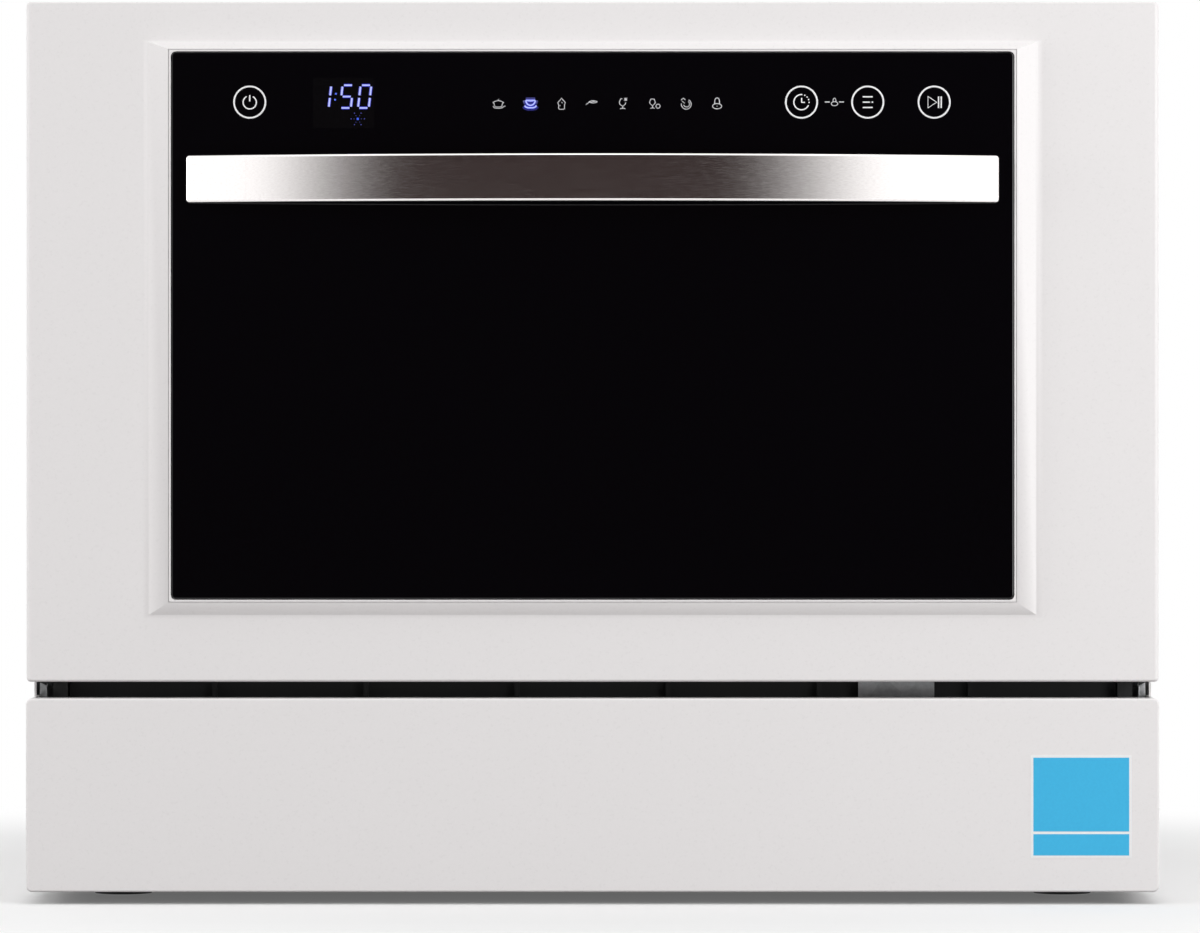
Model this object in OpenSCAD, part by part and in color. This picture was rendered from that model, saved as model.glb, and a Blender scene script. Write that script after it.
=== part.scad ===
// Countertop dishwasher with a drop-down door, a sliding dish rack and a spray arm.
// Millimetres. +Z is up, the door faces -Y, and the origin lies under the middle on the floor.

/* [Cabinet] */
// Width over the cabinet sides
cabinet_w = 550; // [535:1:580]
// Height from the floor to the top panel
cabinet_h = 438; // [430:1:460]
// Depth from the door's face to the cabinet's back edge
body_d = 500; // [490:1:520]
// Thickness of the sheet steel
sheet_t = 1; // [0.8:0.1:1.2]
// Radius of the cabinet's long top edges
top_edge_r = 6; // [3:0.5:9]
// Clear height under the cabinet
foot_h = 6; // [5:0.5:10]
// Radius of a foot
foot_r = 17; // [12:0.5:20]
// Wall of the moulded plastic parts
moulded_t = 3; // [2:0.5:3.5]
// Height of the base tray's walls
tray_h = 50; // [45:1:54]

/* [Kick plate] */
// Height of the kick plate
kick_h = 94; // [90:1:100]
// Open slot between the kick plate and the door
slot_h = 8; // [7:0.5:12]
// Depth of the kick plate's top return
kick_return = 16; // [8:1:18]
// Wall of the kick plate
kick_t = 2.5; // [2:0.25:3]
// Width of the bracket that holds the kick plate
bracket_w = 37.4; // [25:0.1:45]
// Sideways place of that bracket
bracket_x = 149.3; // [120:0.1:170]
// Spacing of the ribs on the front beam
rib_pitch = 74.4; // [60:0.1:80]

/* [Door] */
// Door thickness without the raised frame
door_t = 46; // [44:0.5:50]
// Wall of the door's outer panel
door_wall = 2.5; // [2:0.25:3]
// How much narrower the door is than the cabinet
door_inset = 1; // [0:0.5:2]
// Room between the door's liner and the tub's flange
door_gap = 3; // [2.5:0.1:4]
// Distance of the hinge axis behind the door's face
hinge_back = 18; // [17:0.25:19]
// Height of the hinge axis over the door's lower edge
hinge_up = 18; // [17:0.25:19]
// Radius of the hinge pin
pin_r = 3; // [2.5:0.25:4]
// Opening angle of the door, in degrees
door_swing = 90; // [90:1:90]
// Distance of the black glass from the door's sides
glass_side = 70.05; // [68:0.05:77]
// Distance of the glass's upper edge under the door's top edge
glass_down = 24.3; // [22:0.1:28]
// Height of the glass's lower edge over the door's lower edge
glass_up = 39.8; // [38:0.1:44]
// Thickness of the glass
glass_t = 4; // [3:0.5:5]
// Height of the raised frame over the door's face
frame_raise = 5; // [3:0.5:6]
// Width of the raised frame's slope at the sides
slope_side = 11; // [6:0.5:12]
// Width of the raised frame's slope above the glass
slope_top = 4; // [3:0.5:6]
// Width of the raised frame's slope below the glass
slope_low = 7; // [5:0.5:9]
// Flat rim of the frame round the glass
frame_rim = 1.1; // [0.8:0.1:1.6]

/* [Handle] */
// Distance of the bowed bar's ends inside the glass's sides
bar_in = 7.95; // [5:0.05:20]
// Height of the bar
bar_h = 23.4; // [20:0.1:26]
// Thickness of the bar
bar_t = 5; // [4:0.25:6]
// How far the middle of the bar stands ahead of its ends
bar_bow = 23; // [18:0.5:26]
// Distance of the bar's middle under the door's top edge
bar_down = 84.8; // [78:0.1:92]
// Radius of a post that carries the bar
post_r = 6; // [4:0.25:7]
// Distance of a post from the bar's end
post_in = 14; // [10:0.5:20]

/* [Tub] */
// Room between each cabinet side and the inside of the tub
side_bay = 40; // [38:1:44]
// Depth inside the tub
tub_d = 400; // [394:1:410]
// Corner radius of the tub, seen from the front
tub_r = 10; // [6:1:11]
// Space over the tub
tub_head = 30; // [29:1:34]
// Height of the rack's rails over the tub's floor
rail_h = 6.2; // [4:0.2:7]
// Width of a rail
rail_w = 16; // [12:1:18]
// Distance of a rail's middle from the tub's side
rail_in = 20; // [18:0.5:22]
// Depth of the seat for the door seal
seal_seat = 10; // [8:0.5:12]
// Width of the seat for the door seal
seal_w = 12; // [9:0.5:13]
// Radius of the round well in the tub's floor
well_r = 95; // [88:1:100]
// Depth of that well
well_deep = 14; // [12:0.5:16]

/* [Wash parts] */
// Reach of the spray arm from its axis to its tip
arm_reach = 178; // [150:1:181]
// Width of the spray arm at its hub
arm_w = 40; // [34:1:46]
// Thickness of the spray arm
arm_t = 9; // [8:0.5:11]
// Radius of the pivot that the spray arm turns on
pivot_r = 6; // [5:0.25:7]
// Radius of the round filter
filter_r = 20; // [16:0.5:22]
// Radius of the flat filter plate
plate_r = 72; // [66:1:74]
// Radius of the heating loop
heater_r = 83; // [80:0.5:86]
// Radius of the heating tube
heater_tube_r = 3.5; // [3:0.25:4]
// Radius of the float cap
float_r = 11; // [8:0.5:12]
// Free lift of the float
float_lift = 6; // [3:0.5:8]
// Outer radius of the three-quarter inch inlet spigot
inlet_r = 13.2; // [12:0.1:14]
// Outer radius of the drain spigot
drain_r = 10.5; // [9:0.1:12]
// How far the spigots stand out behind the cabinet
spigot_reach = 12; // [10:0.5:16]
// Radius of the hole for the mains lead
gland_bore_r = 4.2; // [3.5:0.1:5]

/* [Dish rack] */
// Radius of the rack's floor and side wires
wire_r = 2; // [1.8:0.1:2.2]
// Radius of the rack's rim wires
rim_r = 2.5; // [2.2:0.1:2.8]
// Room between the rack's floor and each side of the tub
rack_room = 35; // [33:1:38]
// Depth of the rack's floor between the front and back wires
rack_d = 330; // [320:1:334]
// How far each side of the rack leans out at the rim
rack_lean = 17; // [12:0.5:18]
// Height from the rack's floor to its rim
rack_h = 78; // [70:1:86]
// Height of the rack's floor over its rollers' axles
rack_drop = 20; // [19:0.5:22]
// Corner radius of the rack's rims
rack_corner = 28; // [22:1:32]
// Spacing of the wires that cross the rack
cross_pitch = 31; // [28:0.5:33]
// Spacing of the wires that run front to back
long_pitch = 40; // [36:0.5:42]
// Height of the plate tines over the rack's floor
tine_h = 68; // [50:1:74]
// Spacing of the plate tines
tine_pitch = 31; // [28:0.5:33]
// Radius of a rack roller
roller_r = 12; // [11:0.25:12.5]
// Width of a rack roller
roller_w = 8; // [6:0.5:9]
// How far the rack slides out
rack_travel = 125; // [110:1:126]
// Reach of the folding cup shelf
shelf_reach = 92; // [80:1:96]
// Length of the folding cup shelf
shelf_l = 210; // [180:1:220]
// Height of the cup shelf over the rack's floor
shelf_up = 112; // [108:1:118]
// Width of the cutlery basket
basket_w = 70; // [60:1:74]
// Length of the cutlery basket
basket_l = 186; // [150:1:190]
// Height of the cutlery basket
basket_h = 108; // [90:1:116]
// Cells in a row of the cutlery basket
basket_cells = 4; // [3:1:4]

/* [Dispenser] */
// Width of the dispenser's face plate
dispenser_w = 190; // [180:1:196]
// Height of the dispenser's face plate
dispenser_h = 92; // [84:1:100]
// Width of the detergent cup
cup_w = 60; // [50:1:62]
// Height of the detergent cup
cup_h = 46; // [36:1:50]
// Depth of the detergent cup
cup_deep = 24; // [16:1:27]
// Sideways travel of the detergent lid
lid_travel = 58; // [54:1:62]
// Radius of the rinse-aid cap
rinse_r = 16; // [12:0.5:18]

/* [Clearances] */
// Gap between pieces that rest on each other
seat_gap = 0.3; // [0.2:0.05:0.4]
// Gap between pieces that pass each other
pass_gap = 0.5; // [0.4:0.05:0.8]
// Radial gap of a pin in its bore
pin_gap = 0.06; // [0.03:0.01:0.09]
// Gap round the glass
glass_gap = 0.4; // [0.3:0.05:0.5]

/* [Hidden] */
$fn = 64;
eps = 0.01;
over = 2;

// Main planes, front to back
end_reach = 5;
glass_sink = 0.4;
handle_reach = end_reach + bar_t + bar_bow;
y_front = -(handle_reach + body_d + spigot_reach) / 2 + handle_reach;
y_back = y_front + body_d;
y_liner = y_front + door_t;
y_tub = y_liner + door_gap;
y_hinge = y_front + hinge_back;
y_glass = y_front - frame_raise + glass_sink;
y_glass_back = y_glass + glass_t;
hinge_to_liner = y_liner - y_hinge;
rear_inset = 3;
y_rear = y_back - rear_inset - sheet_t;

// Main levels, floor to top
z_tray = foot_h + sheet_t + seat_gap;
z_tray_floor = z_tray + moulded_t;
z_tray_top = z_tray + tray_h;
z_kick_top = foot_h + kick_h;
z_door = z_kick_top + slot_h;
z_hinge = z_door + hinge_up;
z_rail = z_hinge + hinge_to_liner + 0.2;
z_floor = z_rail - rail_h;
z_tub_top = cabinet_h - tub_head;
tub_h = z_tub_top - z_floor;
flange_top = z_tub_top + seal_w + 9;
z_axle = z_rail + seat_gap + roller_r;
z_rack = z_axle + rack_drop;
z_rim = z_rack + rack_h;
z_shelf = z_rack + shelf_up;
z_bar = cabinet_h - bar_down;
z_glass = z_door + glass_up;
glass_h = cabinet_h - glass_down - z_glass;
z_glass_mid = z_glass + glass_h / 2;
z_well = z_floor - well_deep;

// Widths
side_in = cabinet_w / 2 - sheet_t;
door_w = cabinet_w - door_inset;
tub_w = cabinet_w - 2 * side_bay;
rack_w = tub_w - 2 * rack_room;
glass_w = door_w - 2 * glass_side;
bar_l = glass_w - 2 * bar_in;
glass_corner = 2;
bay_w = 13;
bay_overlap = 1.3;
frame_half = side_in - bay_w + bay_overlap;
tray_half = side_in - bay_w;
liner_play = 1;
liner_half = door_w / 2 - door_wall - liner_play;
arm_x = side_in - 8;
arm_plate = 2;
spring_r = 5;

// Places in the tub
y_arm = y_tub + tub_d / 2;
filter_x = 34;
float_x = -150;
float_y = y_arm - 126;
rack_y = y_hinge + rack_travel + 1.5 + 3.5 * cross_pitch;
rack_front = rack_y - rack_d / 2;
rack_back = rack_y + rack_d / 2;
roller_x = tub_w / 2 - rail_in;
front_roller_y = rack_y - 3.5 * cross_pitch;
rear_roller_y = rack_y + 3.5 * cross_pitch;

// Two-dimensional outlines
module rounded(w, h, r) {
    square([w - 2 * r, h], center = true);
    square([w, h - 2 * r], center = true);
    for (x = [-1, 1], y = [-1, 1])
        translate([x * (w / 2 - r), y * (h / 2 - r)]) circle(r);
}

module slot_outline(l, w) {
    square([l - w, w], center = true);
    for (x = [-1, 1]) translate([x * (l - w) / 2, 0]) circle(w / 2);
}

// A flat outline in X and Z, given thickness t from y0 backwards
module along_y(y0, t) {
    translate([0, y0 + t, 0]) rotate([90, 0, 0]) linear_extrude(t) children();
}

// A flat outline in Y and Z, given thickness t from x0 to the right
module along_x(x0, t) {
    translate([x0, 0, 0]) rotate([90, 0, 90]) linear_extrude(t) children();
}

module both_sides() {
    children();
    mirror([1, 0, 0]) children();
}

// A box between two corners
module block(low, high) {
    translate(low) cube(high - low);
}

// A straight round wire or tube between two points
module rod(a, b, r) {
    d = b - a;
    flat = norm([d[0], d[1]]);
    translate(a) rotate([0, atan2(flat, d[2]), atan2(d[1], d[0])]) cylinder(r = r, h = norm(d));
}

// A pipe through several points, with a ball at each bend
module pipe(points, r) {
    for (i = [1 : len(points) - 1]) rod(points[i - 1], points[i], r);
    for (i = [1 : len(points) - 2]) translate(points[i]) sphere(r + 0.2);
}

// A pin or round hole along X
module pin_x(x0, x1, y, z, r) {
    translate([x0, y, z]) rotate([0, 90, 0]) cylinder(r = r, h = x1 - x0);
}

// A pin or round hole along Y
module pin_y(y0, y1, x, z, r) {
    translate([x, y0, z]) rotate([-90, 0, 0]) cylinder(r = r, h = y1 - y0);
}

// Cabinet: painted wrap over both sides and the top
module wrap_outline(inset) {
    half = cabinet_w / 2 - inset;
    top = cabinet_h - inset;
    r = top_edge_r - inset;
    translate([-half, foot_h]) square([2 * half, top - foot_h - r]);
    translate([-half + r, foot_h]) square([2 * (half - r), top - foot_h]);
    for (x = [-1, 1]) translate([x * (half - r), top - r]) circle(r);
}

module cabinet_wrap() {
    lip_z = flange_top;
    color("whitesmoke") {
        along_y(y_tub, y_back - y_tub) difference() {
            wrap_outline(0);
            difference() {
                wrap_outline(sheet_t);
                for (x = [-1, 1])
                    translate([x * (side_in + tray_half - over) / 2, foot_h + sheet_t / 2])
                        square([side_in - tray_half + over + eps, sheet_t], center = true);
            }
            translate([-tray_half + over, foot_h - eps]) square([2 * (tray_half - over), sheet_t + 2 * eps]);
        }
        along_y(y_tub, sheet_t) difference() {
            intersection() {
                wrap_outline(sheet_t / 2);
                translate([-cabinet_w, z_hinge + 55]) square([2 * cabinet_w, cabinet_h]);
            }
            translate([-frame_half - seat_gap, 0]) square([2 * (frame_half + seat_gap), lip_z + seat_gap]);
        }
    }
}

// Rear panel: a pan inside the wrap, stiffened by raised fields and open at the vents
module rear_panel() {
    low = z_tray_top + seat_gap;
    high = cabinet_h - sheet_t - seat_gap;
    mid = (low + high) / 2;
    half = side_in - seat_gap;
    vent_l = 56;
    color("silver") difference() {
        union() {
            along_y(y_rear, sheet_t) intersection() {
                wrap_outline(sheet_t + seat_gap);
                translate([-half, low]) square([2 * half, high - low]);
            }
            for (x = [-1, 1]) block(
                [x * half - (x > 0 ? sheet_t : 0), y_rear - 11, low],
                [x * half + (x > 0 ? 0 : sheet_t), y_rear + sheet_t, high - top_edge_r]
            );
            block([-half + top_edge_r, y_rear - 11, high - sheet_t], [half - top_edge_r, y_rear + sheet_t, high]);
            for (x = [-135, 135]) along_y(y_rear + sheet_t - eps, 1.6)
                translate([x, mid]) rounded(210, 230, 18);
        }
        for (x = [-135, 135]) along_y(y_rear - eps, 1.6)
            translate([x, mid]) rounded(208, 228, 17);
        for (x = [-135, 135], k = [-4 : 4]) along_y(y_rear - 5, 20)
            translate([x, mid + 60 + k * 9]) slot_outline(vent_l, 3);
    }
}

// Places of the tray's long ribs and of the pillars that carry the tub
tray_ribs = [-200, -5, 200];
pillar_w = 22;
pillar_x = tub_w / 2 - 24;
pillar_rows = [y_tub + 46, y_tub + tub_d - 34];

// Base tray: moulded floor, walls, ribs and the pillars that carry the tub
module base_tray() {
    front = y_front + kick_t + seat_gap;
    back = y_rear + sheet_t;
    depth = back - front;
    color("dimgray") difference() {
        union() {
            difference() {
                translate([0, (front + back) / 2, z_tray]) linear_extrude(tray_h)
                    rounded(2 * tray_half, depth, 10);
                translate([0, (front + back) / 2, z_tray_floor]) linear_extrude(tray_h)
                    rounded(2 * tray_half - 2 * moulded_t, depth - 2 * moulded_t, 8);
            }
            for (x = tray_ribs) block(
                [x - 1.5, front + 1, z_tray + 1],
                [x + 1.5, back - 1, z_tray + 10]
            );
            for (x = [-1, 1], y = pillar_rows) block(
                [x * pillar_x - pillar_w / 2, y - pillar_w / 2, z_tray + 1],
                [x * pillar_x + pillar_w / 2, y + pillar_w / 2, z_floor - sheet_t - seat_gap]
            );
        }
        for (x = [-1, 1], y = pillar_rows) block(
            [x * pillar_x - pillar_w / 2 + moulded_t, y - pillar_w / 2 + moulded_t, z_tray - 1],
            [x * pillar_x + pillar_w / 2 - moulded_t, y + pillar_w / 2 - moulded_t, z_floor - sheet_t - 2 * moulded_t]
        );
        pin_y(back - 10, back + 10, inlet_x, spigot_z, inlet_r + pass_gap);
        pin_y(back - 10, back + 10, drain_x, spigot_z, drain_r + pass_gap);
        pin_y(back - 10, back + 10, gland_x, spigot_z, gland_r);
        block([-beam_half - pass_gap, beam_y - pass_gap, z_tray_floor], [-beam_half + 4, beam_y + 4, z_tray_floor + 1]);
    }
}

// Feet: the front ones stand back under the tray, out of sight
foot_front = y_front + 90;
foot_back = y_rear - 30;
foot_x = tray_half - foot_r - 10;
module feet() {
    color("dimgray") for (x = [-1, 1], y = [foot_front, foot_back])
        translate([x * foot_x, y, 0]) rotate_extrude() polygon([
            [0, 0], [foot_r - 3, 0], [foot_r - 2, 1], [foot_r, z_tray], [0, z_tray]
        ]);
}

// Kick plate under the door, with a rounded top edge and side returns
module kick_plate() {
    mid_z = foot_h + kick_h / 2;
    depth = y_tub - seat_gap - y_front;
    wide = cabinet_w;
    r = 4;
    color("whitesmoke") difference() {
        intersection() {
            along_y(y_front, depth) translate([0, mid_z]) rounded(wide, kick_h, r);
            along_x(-cabinet_w, 2 * cabinet_w) {
                translate([y_front + r, foot_h]) square([depth - r, kick_h]);
                translate([y_front, foot_h]) square([r + 1, kick_h - r]);
                translate([y_front + r, z_kick_top - r]) circle(r);
            }
        }
        along_y(y_front + kick_t, depth) translate([0, mid_z])
            rounded(wide - 2 * kick_t, kick_h - 2 * kick_t, 2);
        block(
            [-cabinet_w / 2 + kick_t, y_front + kick_return, z_kick_top - 2 * kick_t],
            [cabinet_w / 2 - kick_t, y_tub + 1, z_kick_top + 1]
        );
        block(
            [-tray_half - pass_gap, y_front + kick_t, foot_h - 1],
            [tray_half + pass_gap, y_tub + 1, foot_h + kick_t + 1]
        );
    }
}

// Bracket that ties the kick plate to the tray; its top shows in the slot under the door
bracket_t = 1.5;
bracket_y = y_hinge + hinge_to_liner - 2;
module kick_bracket() {
    left = bracket_x - bracket_w / 2;
    right = bracket_x + bracket_w / 2;
    color("gray") difference() {
        union() {
            block([left, bracket_y, z_tray_floor], [right, bracket_y + bracket_t, z_door + hinge_up / 3]);
            block([left, bracket_y - 16, z_tray_floor], [right, bracket_y + 1, z_tray_floor + bracket_t]);
            block([left, y_front + kick_t + seat_gap, z_tray_top + 4], [right, bracket_y + 1, z_tray_top + 4 + bracket_t]);
            block(
                [left, y_front + kick_t + seat_gap, z_tray_top + 4],
                [right, y_front + kick_t + seat_gap + bracket_t, z_tray_top + 20]
            );
        }
        for (x = [-1, 1]) translate([bracket_x + x * bracket_w / 4, bracket_y - 9, z_tray_floor - 1])
            cylinder(r = 2, h = 10);
    }
}

// Black beam across the front under the tub, with upright ribs
beam_half = tray_half - moulded_t - seat_gap;
beam_y = y_tub + sheet_t;
beam_top = z_floor - seal_w - sheet_t - seat_gap - 1;
module front_beam() {
    rib_t = 2.5;
    rib_out = 4.5;
    rib_top = z_door + 4;
    color("black") difference() {
        union() {
            block([-beam_half, beam_y, z_tray_floor], [beam_half, beam_y + moulded_t, beam_top]);
            block([-beam_half, beam_y, beam_top - moulded_t], [beam_half, beam_y + 20, beam_top]);
            for (k = [-3 : 2]) translate([(k + 0.5) * rib_pitch - rib_t / 2, beam_y - rib_out, z_tray_top + 12])
                cube([rib_t, rib_out + 1, rib_top - z_tray_top - 12]);
            for (k = [-3 : 2]) translate([(k + 0.5) * rib_pitch - rib_t / 2, beam_y + 1, z_tray_floor + 11])
                cube([rib_t, 18, beam_top - z_tray_floor - 12]);
        }
        for (x = tray_ribs) block(
            [x - 1.5 - pass_gap, beam_y - 1, z_tray_floor - 1],
            [x + 1.5 + pass_gap, beam_y + moulded_t + 1, z_tray_floor + 9]
        );
    }
}

// Tub: pressed shell with a seat for the seal, a front flange and a round well
module tub_section(grow) {
    translate([0, (z_floor + z_tub_top) / 2]) rounded(tub_w + 2 * grow, tub_h + 2 * grow, tub_r + grow);
}

module tub() {
    flange_low = z_floor - seal_w - sheet_t - 5;
    color("lightgray") difference() {
        union() {
            along_y(y_tub + seal_seat, tub_d - seal_seat + sheet_t) tub_section(sheet_t);
            along_y(y_tub, seal_seat + sheet_t) tub_section(seal_w + sheet_t);
            block([-frame_half, y_tub, flange_low], [frame_half, y_tub + sheet_t, flange_top]);
            translate([0, y_arm, z_well - sheet_t]) cylinder(r = well_r + sheet_t, h = well_deep + sheet_t);
        }
        along_y(y_tub + seal_seat - over, tub_d - seal_seat + over) tub_section(0);
        along_y(y_tub - over, seal_seat + over) tub_section(seal_w);
        translate([0, y_arm, z_well]) cylinder(r = well_r, h = well_deep + 1);
        translate([0, y_arm, z_well - 5]) cylinder(r = sump_r, h = 10);
        translate([float_x, float_y, z_floor - 5]) cylinder(r = float_pin_r + 2, h = 10);
        for (x = [-1, 1]) translate([x * heater_end_x, heater_end_y, z_well - 5])
            cylinder(r = heater_tube_r + pass_gap, h = 10);
    }
}

// Rails on the tub's floor for the rack's rollers, with bevelled edges
module rack_rails() {
    bevel = 1;
    color("silver") for (x = [-1, 1]) along_y(y_tub + seal_seat, tub_d - seal_seat - 2 * tub_r)
        translate([x * roller_x, z_floor]) polygon([
            [-rail_w / 2, 0], [rail_w / 2, 0], [rail_w / 2, rail_h - bevel], [rail_w / 2 - bevel, rail_h],
            [bevel - rail_w / 2, rail_h], [-rail_w / 2, rail_h - bevel]
        ]);
}

// Rubber seal round the tub's mouth
module door_seal() {
    bulge = door_gap - seat_gap;
    color("dimgray") {
        along_y(y_tub + 0.5, seal_seat - 0.5 - seat_gap) difference() {
            tub_section(seal_w - seat_gap);
            tub_section(0.5);
        }
        along_y(y_tub - bulge, bulge + 1) difference() {
            tub_section(seal_w - seat_gap - 1.5);
            tub_section(4);
        }
    }
}

// Latch: strike on the tub, catch in the door
strike_z = z_tub_top + seal_w + 3;
module latch_strike() {
    nose = y_liner - 21;
    color("gray") difference() {
        union() {
            along_x(-8, 16) polygon([
                [y_tub - seat_gap, strike_z], [nose, strike_z], [nose - 2, strike_z + 1.5],
                [nose, strike_z + 3], [y_tub - seat_gap, strike_z + 3]
            ]);
            along_x(-14, 28) polygon([
                [y_tub - seat_gap - 1.5, strike_z], [y_tub - seat_gap, strike_z],
                [y_tub - seat_gap, flange_top], [y_tub - seat_gap - 1.5, flange_top]
            ]);
        }
        block([-4, nose + 4, strike_z - 1], [4, nose + 12, strike_z + 5]);
        for (x = [-9, 9]) pin_y(y_tub - 5, y_tub + 5, x, strike_z + 3.2, 1.2);
    }
}

// Hinge bracket beside the tub: it carries the pivot pin and the spring's anchor
module hinge_bracket() {
    inner = frame_half + seat_gap;
    plate = 1.8;
    far = y_tub + 42;
    pin_end = arm_x + arm_plate + 3;
    spring_y = y_hinge + tail_y;
    color("silver") difference() {
        union() {
            along_x(inner, plate) {
                translate([y_hinge, z_hinge]) circle(8);
                translate([y_hinge, z_hinge - 15]) square([8, 15]);
                translate([y_hinge, z_hinge - 15]) square([far - y_hinge, 6]);
                translate([spring_y + spring_r + 1.5, z_tray_floor + 4])
                    square([far - spring_y - spring_r - 1.5, z_hinge - 12 - z_tray_floor]);
                translate([y_tub + seat_gap, z_tray_floor + 4])
                    square([far - y_tub - seat_gap, spring_low - 2 - z_tray_floor - 4]);
                translate([y_tub + seat_gap + 3, z_hinge - 10]) square([far - y_tub - 8, 32]);
            }
            pin_x(inner + plate - 0.5, pin_end, y_hinge, z_hinge, pin_r);
            pin_x(arm_x + arm_plate + 1, pin_end, y_hinge, z_hinge, pin_r + 1.5);
            pin_x(inner + plate - 0.5, arm_x + arm_plate / 2 + 4, spring_y, spring_low - 4, 1.6);
            pin_x(arm_x + arm_plate / 2 + 2.6, arm_x + arm_plate / 2 + 4, spring_y, spring_low - 4, 3);
        }
        pin_x(inner - 1, inner + plate + 1, y_tub + 30, z_hinge + 12, 2);
        pin_x(inner - 1, inner + plate + 1, y_tub + 30, z_tray_top + 12, 2);
    }
}

module hinge_brackets() both_sides() hinge_bracket();

// Hinge arm: folded steel lever fixed inside the door; its tail holds the spring
tail_y = 34;
tail_z = -20;
arm_screws = [40, 90];
arm_seat = door_w / 2 - door_wall - seat_gap;
module hinge_arm() {
    color("silver") difference() {
        union() {
            along_x(arm_x, arm_plate) {
                translate([y_hinge, z_hinge]) circle(9);
                translate([y_hinge + tail_y, z_hinge + tail_z]) circle(5.5);
                polygon([
                    [y_hinge - 4, z_hinge - 6], [y_hinge + tail_y - 1, z_hinge + tail_z - 5],
                    [y_hinge + tail_y + 3, z_hinge + tail_z + 4], [y_hinge + 6, z_hinge + 5]
                ]);
                translate([y_hinge - 8, z_hinge]) square([22, 110]);
            }
            for (y = [y_hinge - 8, y_hinge + 14 - arm_plate])
                block([arm_x - 3, y, z_hinge + 12], [arm_x + 1, y + arm_plate, z_hinge + 110]);
            for (z = arm_screws) pin_x(arm_x + 1, arm_seat, y_hinge + 3, z_hinge + z, 7);
        }
        pin_x(arm_x - 1, arm_x + arm_plate + 1, y_hinge, z_hinge, pin_r + pin_gap);
        pin_x(arm_x - 1, arm_x + arm_plate + 1, y_hinge + tail_y, z_hinge + tail_z, 2.5);
        for (z = arm_screws) pin_x(arm_x - 1, arm_seat + 1, y_hinge + 3, z_hinge + z, 2);
    }
}

module hinge_arm_left() mirror([1, 0, 0]) hinge_arm();
module hinge_arm_right() hinge_arm();

// Close-wound door spring between the arm's tail and the bracket's anchor
spring_low = z_tray_floor + 20;
module door_spring() {
    x = arm_x + arm_plate / 2;
    y = y_hinge + tail_y;
    hook_r = 4;
    high = z_hinge + tail_z - 2.5 + 1 - 2 * hook_r + 1.4;
    turns = 22;
    pitch = (high - spring_low) / turns;
    color("gray") {
        translate([x, y, spring_low]) rotate_extrude() {
            square([spring_r - 0.9, high - spring_low]);
            for (k = [0 : turns - 1]) translate([spring_r - 1.3, (k + 0.5) * pitch]) circle(1.3);
        }
        translate([x, y, high + hook_r - 1]) rotate([90, 0, 0]) rotate_extrude() translate([hook_r, 0]) circle(1);
        translate([x, y, spring_low - hook_r + 0.3]) rotate([0, 90, 0]) rotate_extrude() translate([hook_r, 0]) circle(1);
    }
}

module door_spring_left() mirror([1, 0, 0]) door_spring();
module door_spring_right() door_spring();

pump_z = z_well - 42;

// Sump under the well: flange, bowl and two side ports
sump_r = 60;
sump_floor = z_well - 60;
module sump() {
    wall = 2.5;
    color("darkgray") difference() {
        union() {
            translate([0, y_arm, 0]) rotate_extrude() polygon([
                [0, sump_floor - wall], [sump_r - 16, sump_floor - wall], [sump_r - 1, sump_floor + 18],
                [sump_r - 1, z_well - sheet_t - 4.3], [sump_r + 12, z_well - sheet_t - 4.3],
                [sump_r + 12, z_well - sheet_t - seat_gap], [0, z_well - sheet_t - seat_gap]
            ]);
            pin_x(-sump_r - 14, -sump_r + 12, y_arm, pump_z, 14);
            pin_y(y_arm + sump_r - 12, y_arm + sump_r + 14, 30, sump_floor + 16, 9);
        }
        translate([0, y_arm, 0]) rotate_extrude() polygon([
            [0, sump_floor], [sump_r - 18, sump_floor], [sump_r - 3.5, sump_floor + 19],
            [sump_r - 3.5, z_well + 5], [0, z_well + 5]
        ]);
    }
}

// Wash pump: volute and finned motor, seated on the sump's side port
module wash_pump() {
    z = pump_z;
    x = -sump_r - 14 - seat_gap;
    color("slategray") {
        pin_x(x - 6, x, y_arm, z, 14);
        pin_x(x - 36, x - 5, y_arm, z, 38);
        pin_x(x - 108, x - 35, y_arm, z, 30);
        for (k = [0 : 4]) pin_x(x - 100 + k * 13, x - 94 + k * 13, y_arm, z, 32);
        block([x - 96, y_arm - 22, z_tray_floor + seat_gap], [x - 40, y_arm + 22, z - 22]);
        rod([x - 20, y_arm + 30, z], [x - 20, y_arm + 56, z + 4], 10);
    }
}

// Drain pump with its outlet
module drain_pump() {
    z = sump_floor + 16;
    y = y_arm + sump_r + 14 + seat_gap;
    color("slategray") {
        pin_y(y, y + 8, 30, z, 9);
        pin_y(y + 7, y + 30, 30, z, 24);
        pin_y(y + 29, y + 62, 30, z, 18);
        block([18, y + 12, z_tray_floor + seat_gap], [42, y + 50, z - 14]);
        pin_x(30 + 15, 30 + 40, y + 18, z + 10, 8);
    }
}

heater_end_x = 12;
heater_end_y = y_arm + sqrt(pow(heater_r, 2) - pow(heater_end_x, 2));

// Heating loop in the well, with both cold ends down through the floor
module heater() {
    z = z_well + heater_tube_r + 3;
    gap_angle = asin(heater_end_x / heater_r);
    color("silver") {
        translate([0, y_arm, z]) rotate([0, 0, 90 + gap_angle]) rotate_extrude(angle = 360 - 2 * gap_angle)
            translate([heater_r, 0]) circle(heater_tube_r);
        for (x = [-1, 1]) translate([x * heater_end_x, heater_end_y, z_well - 14])
            cylinder(r = heater_tube_r - 0.3, h = z - z_well + 16);
    }
}

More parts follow.
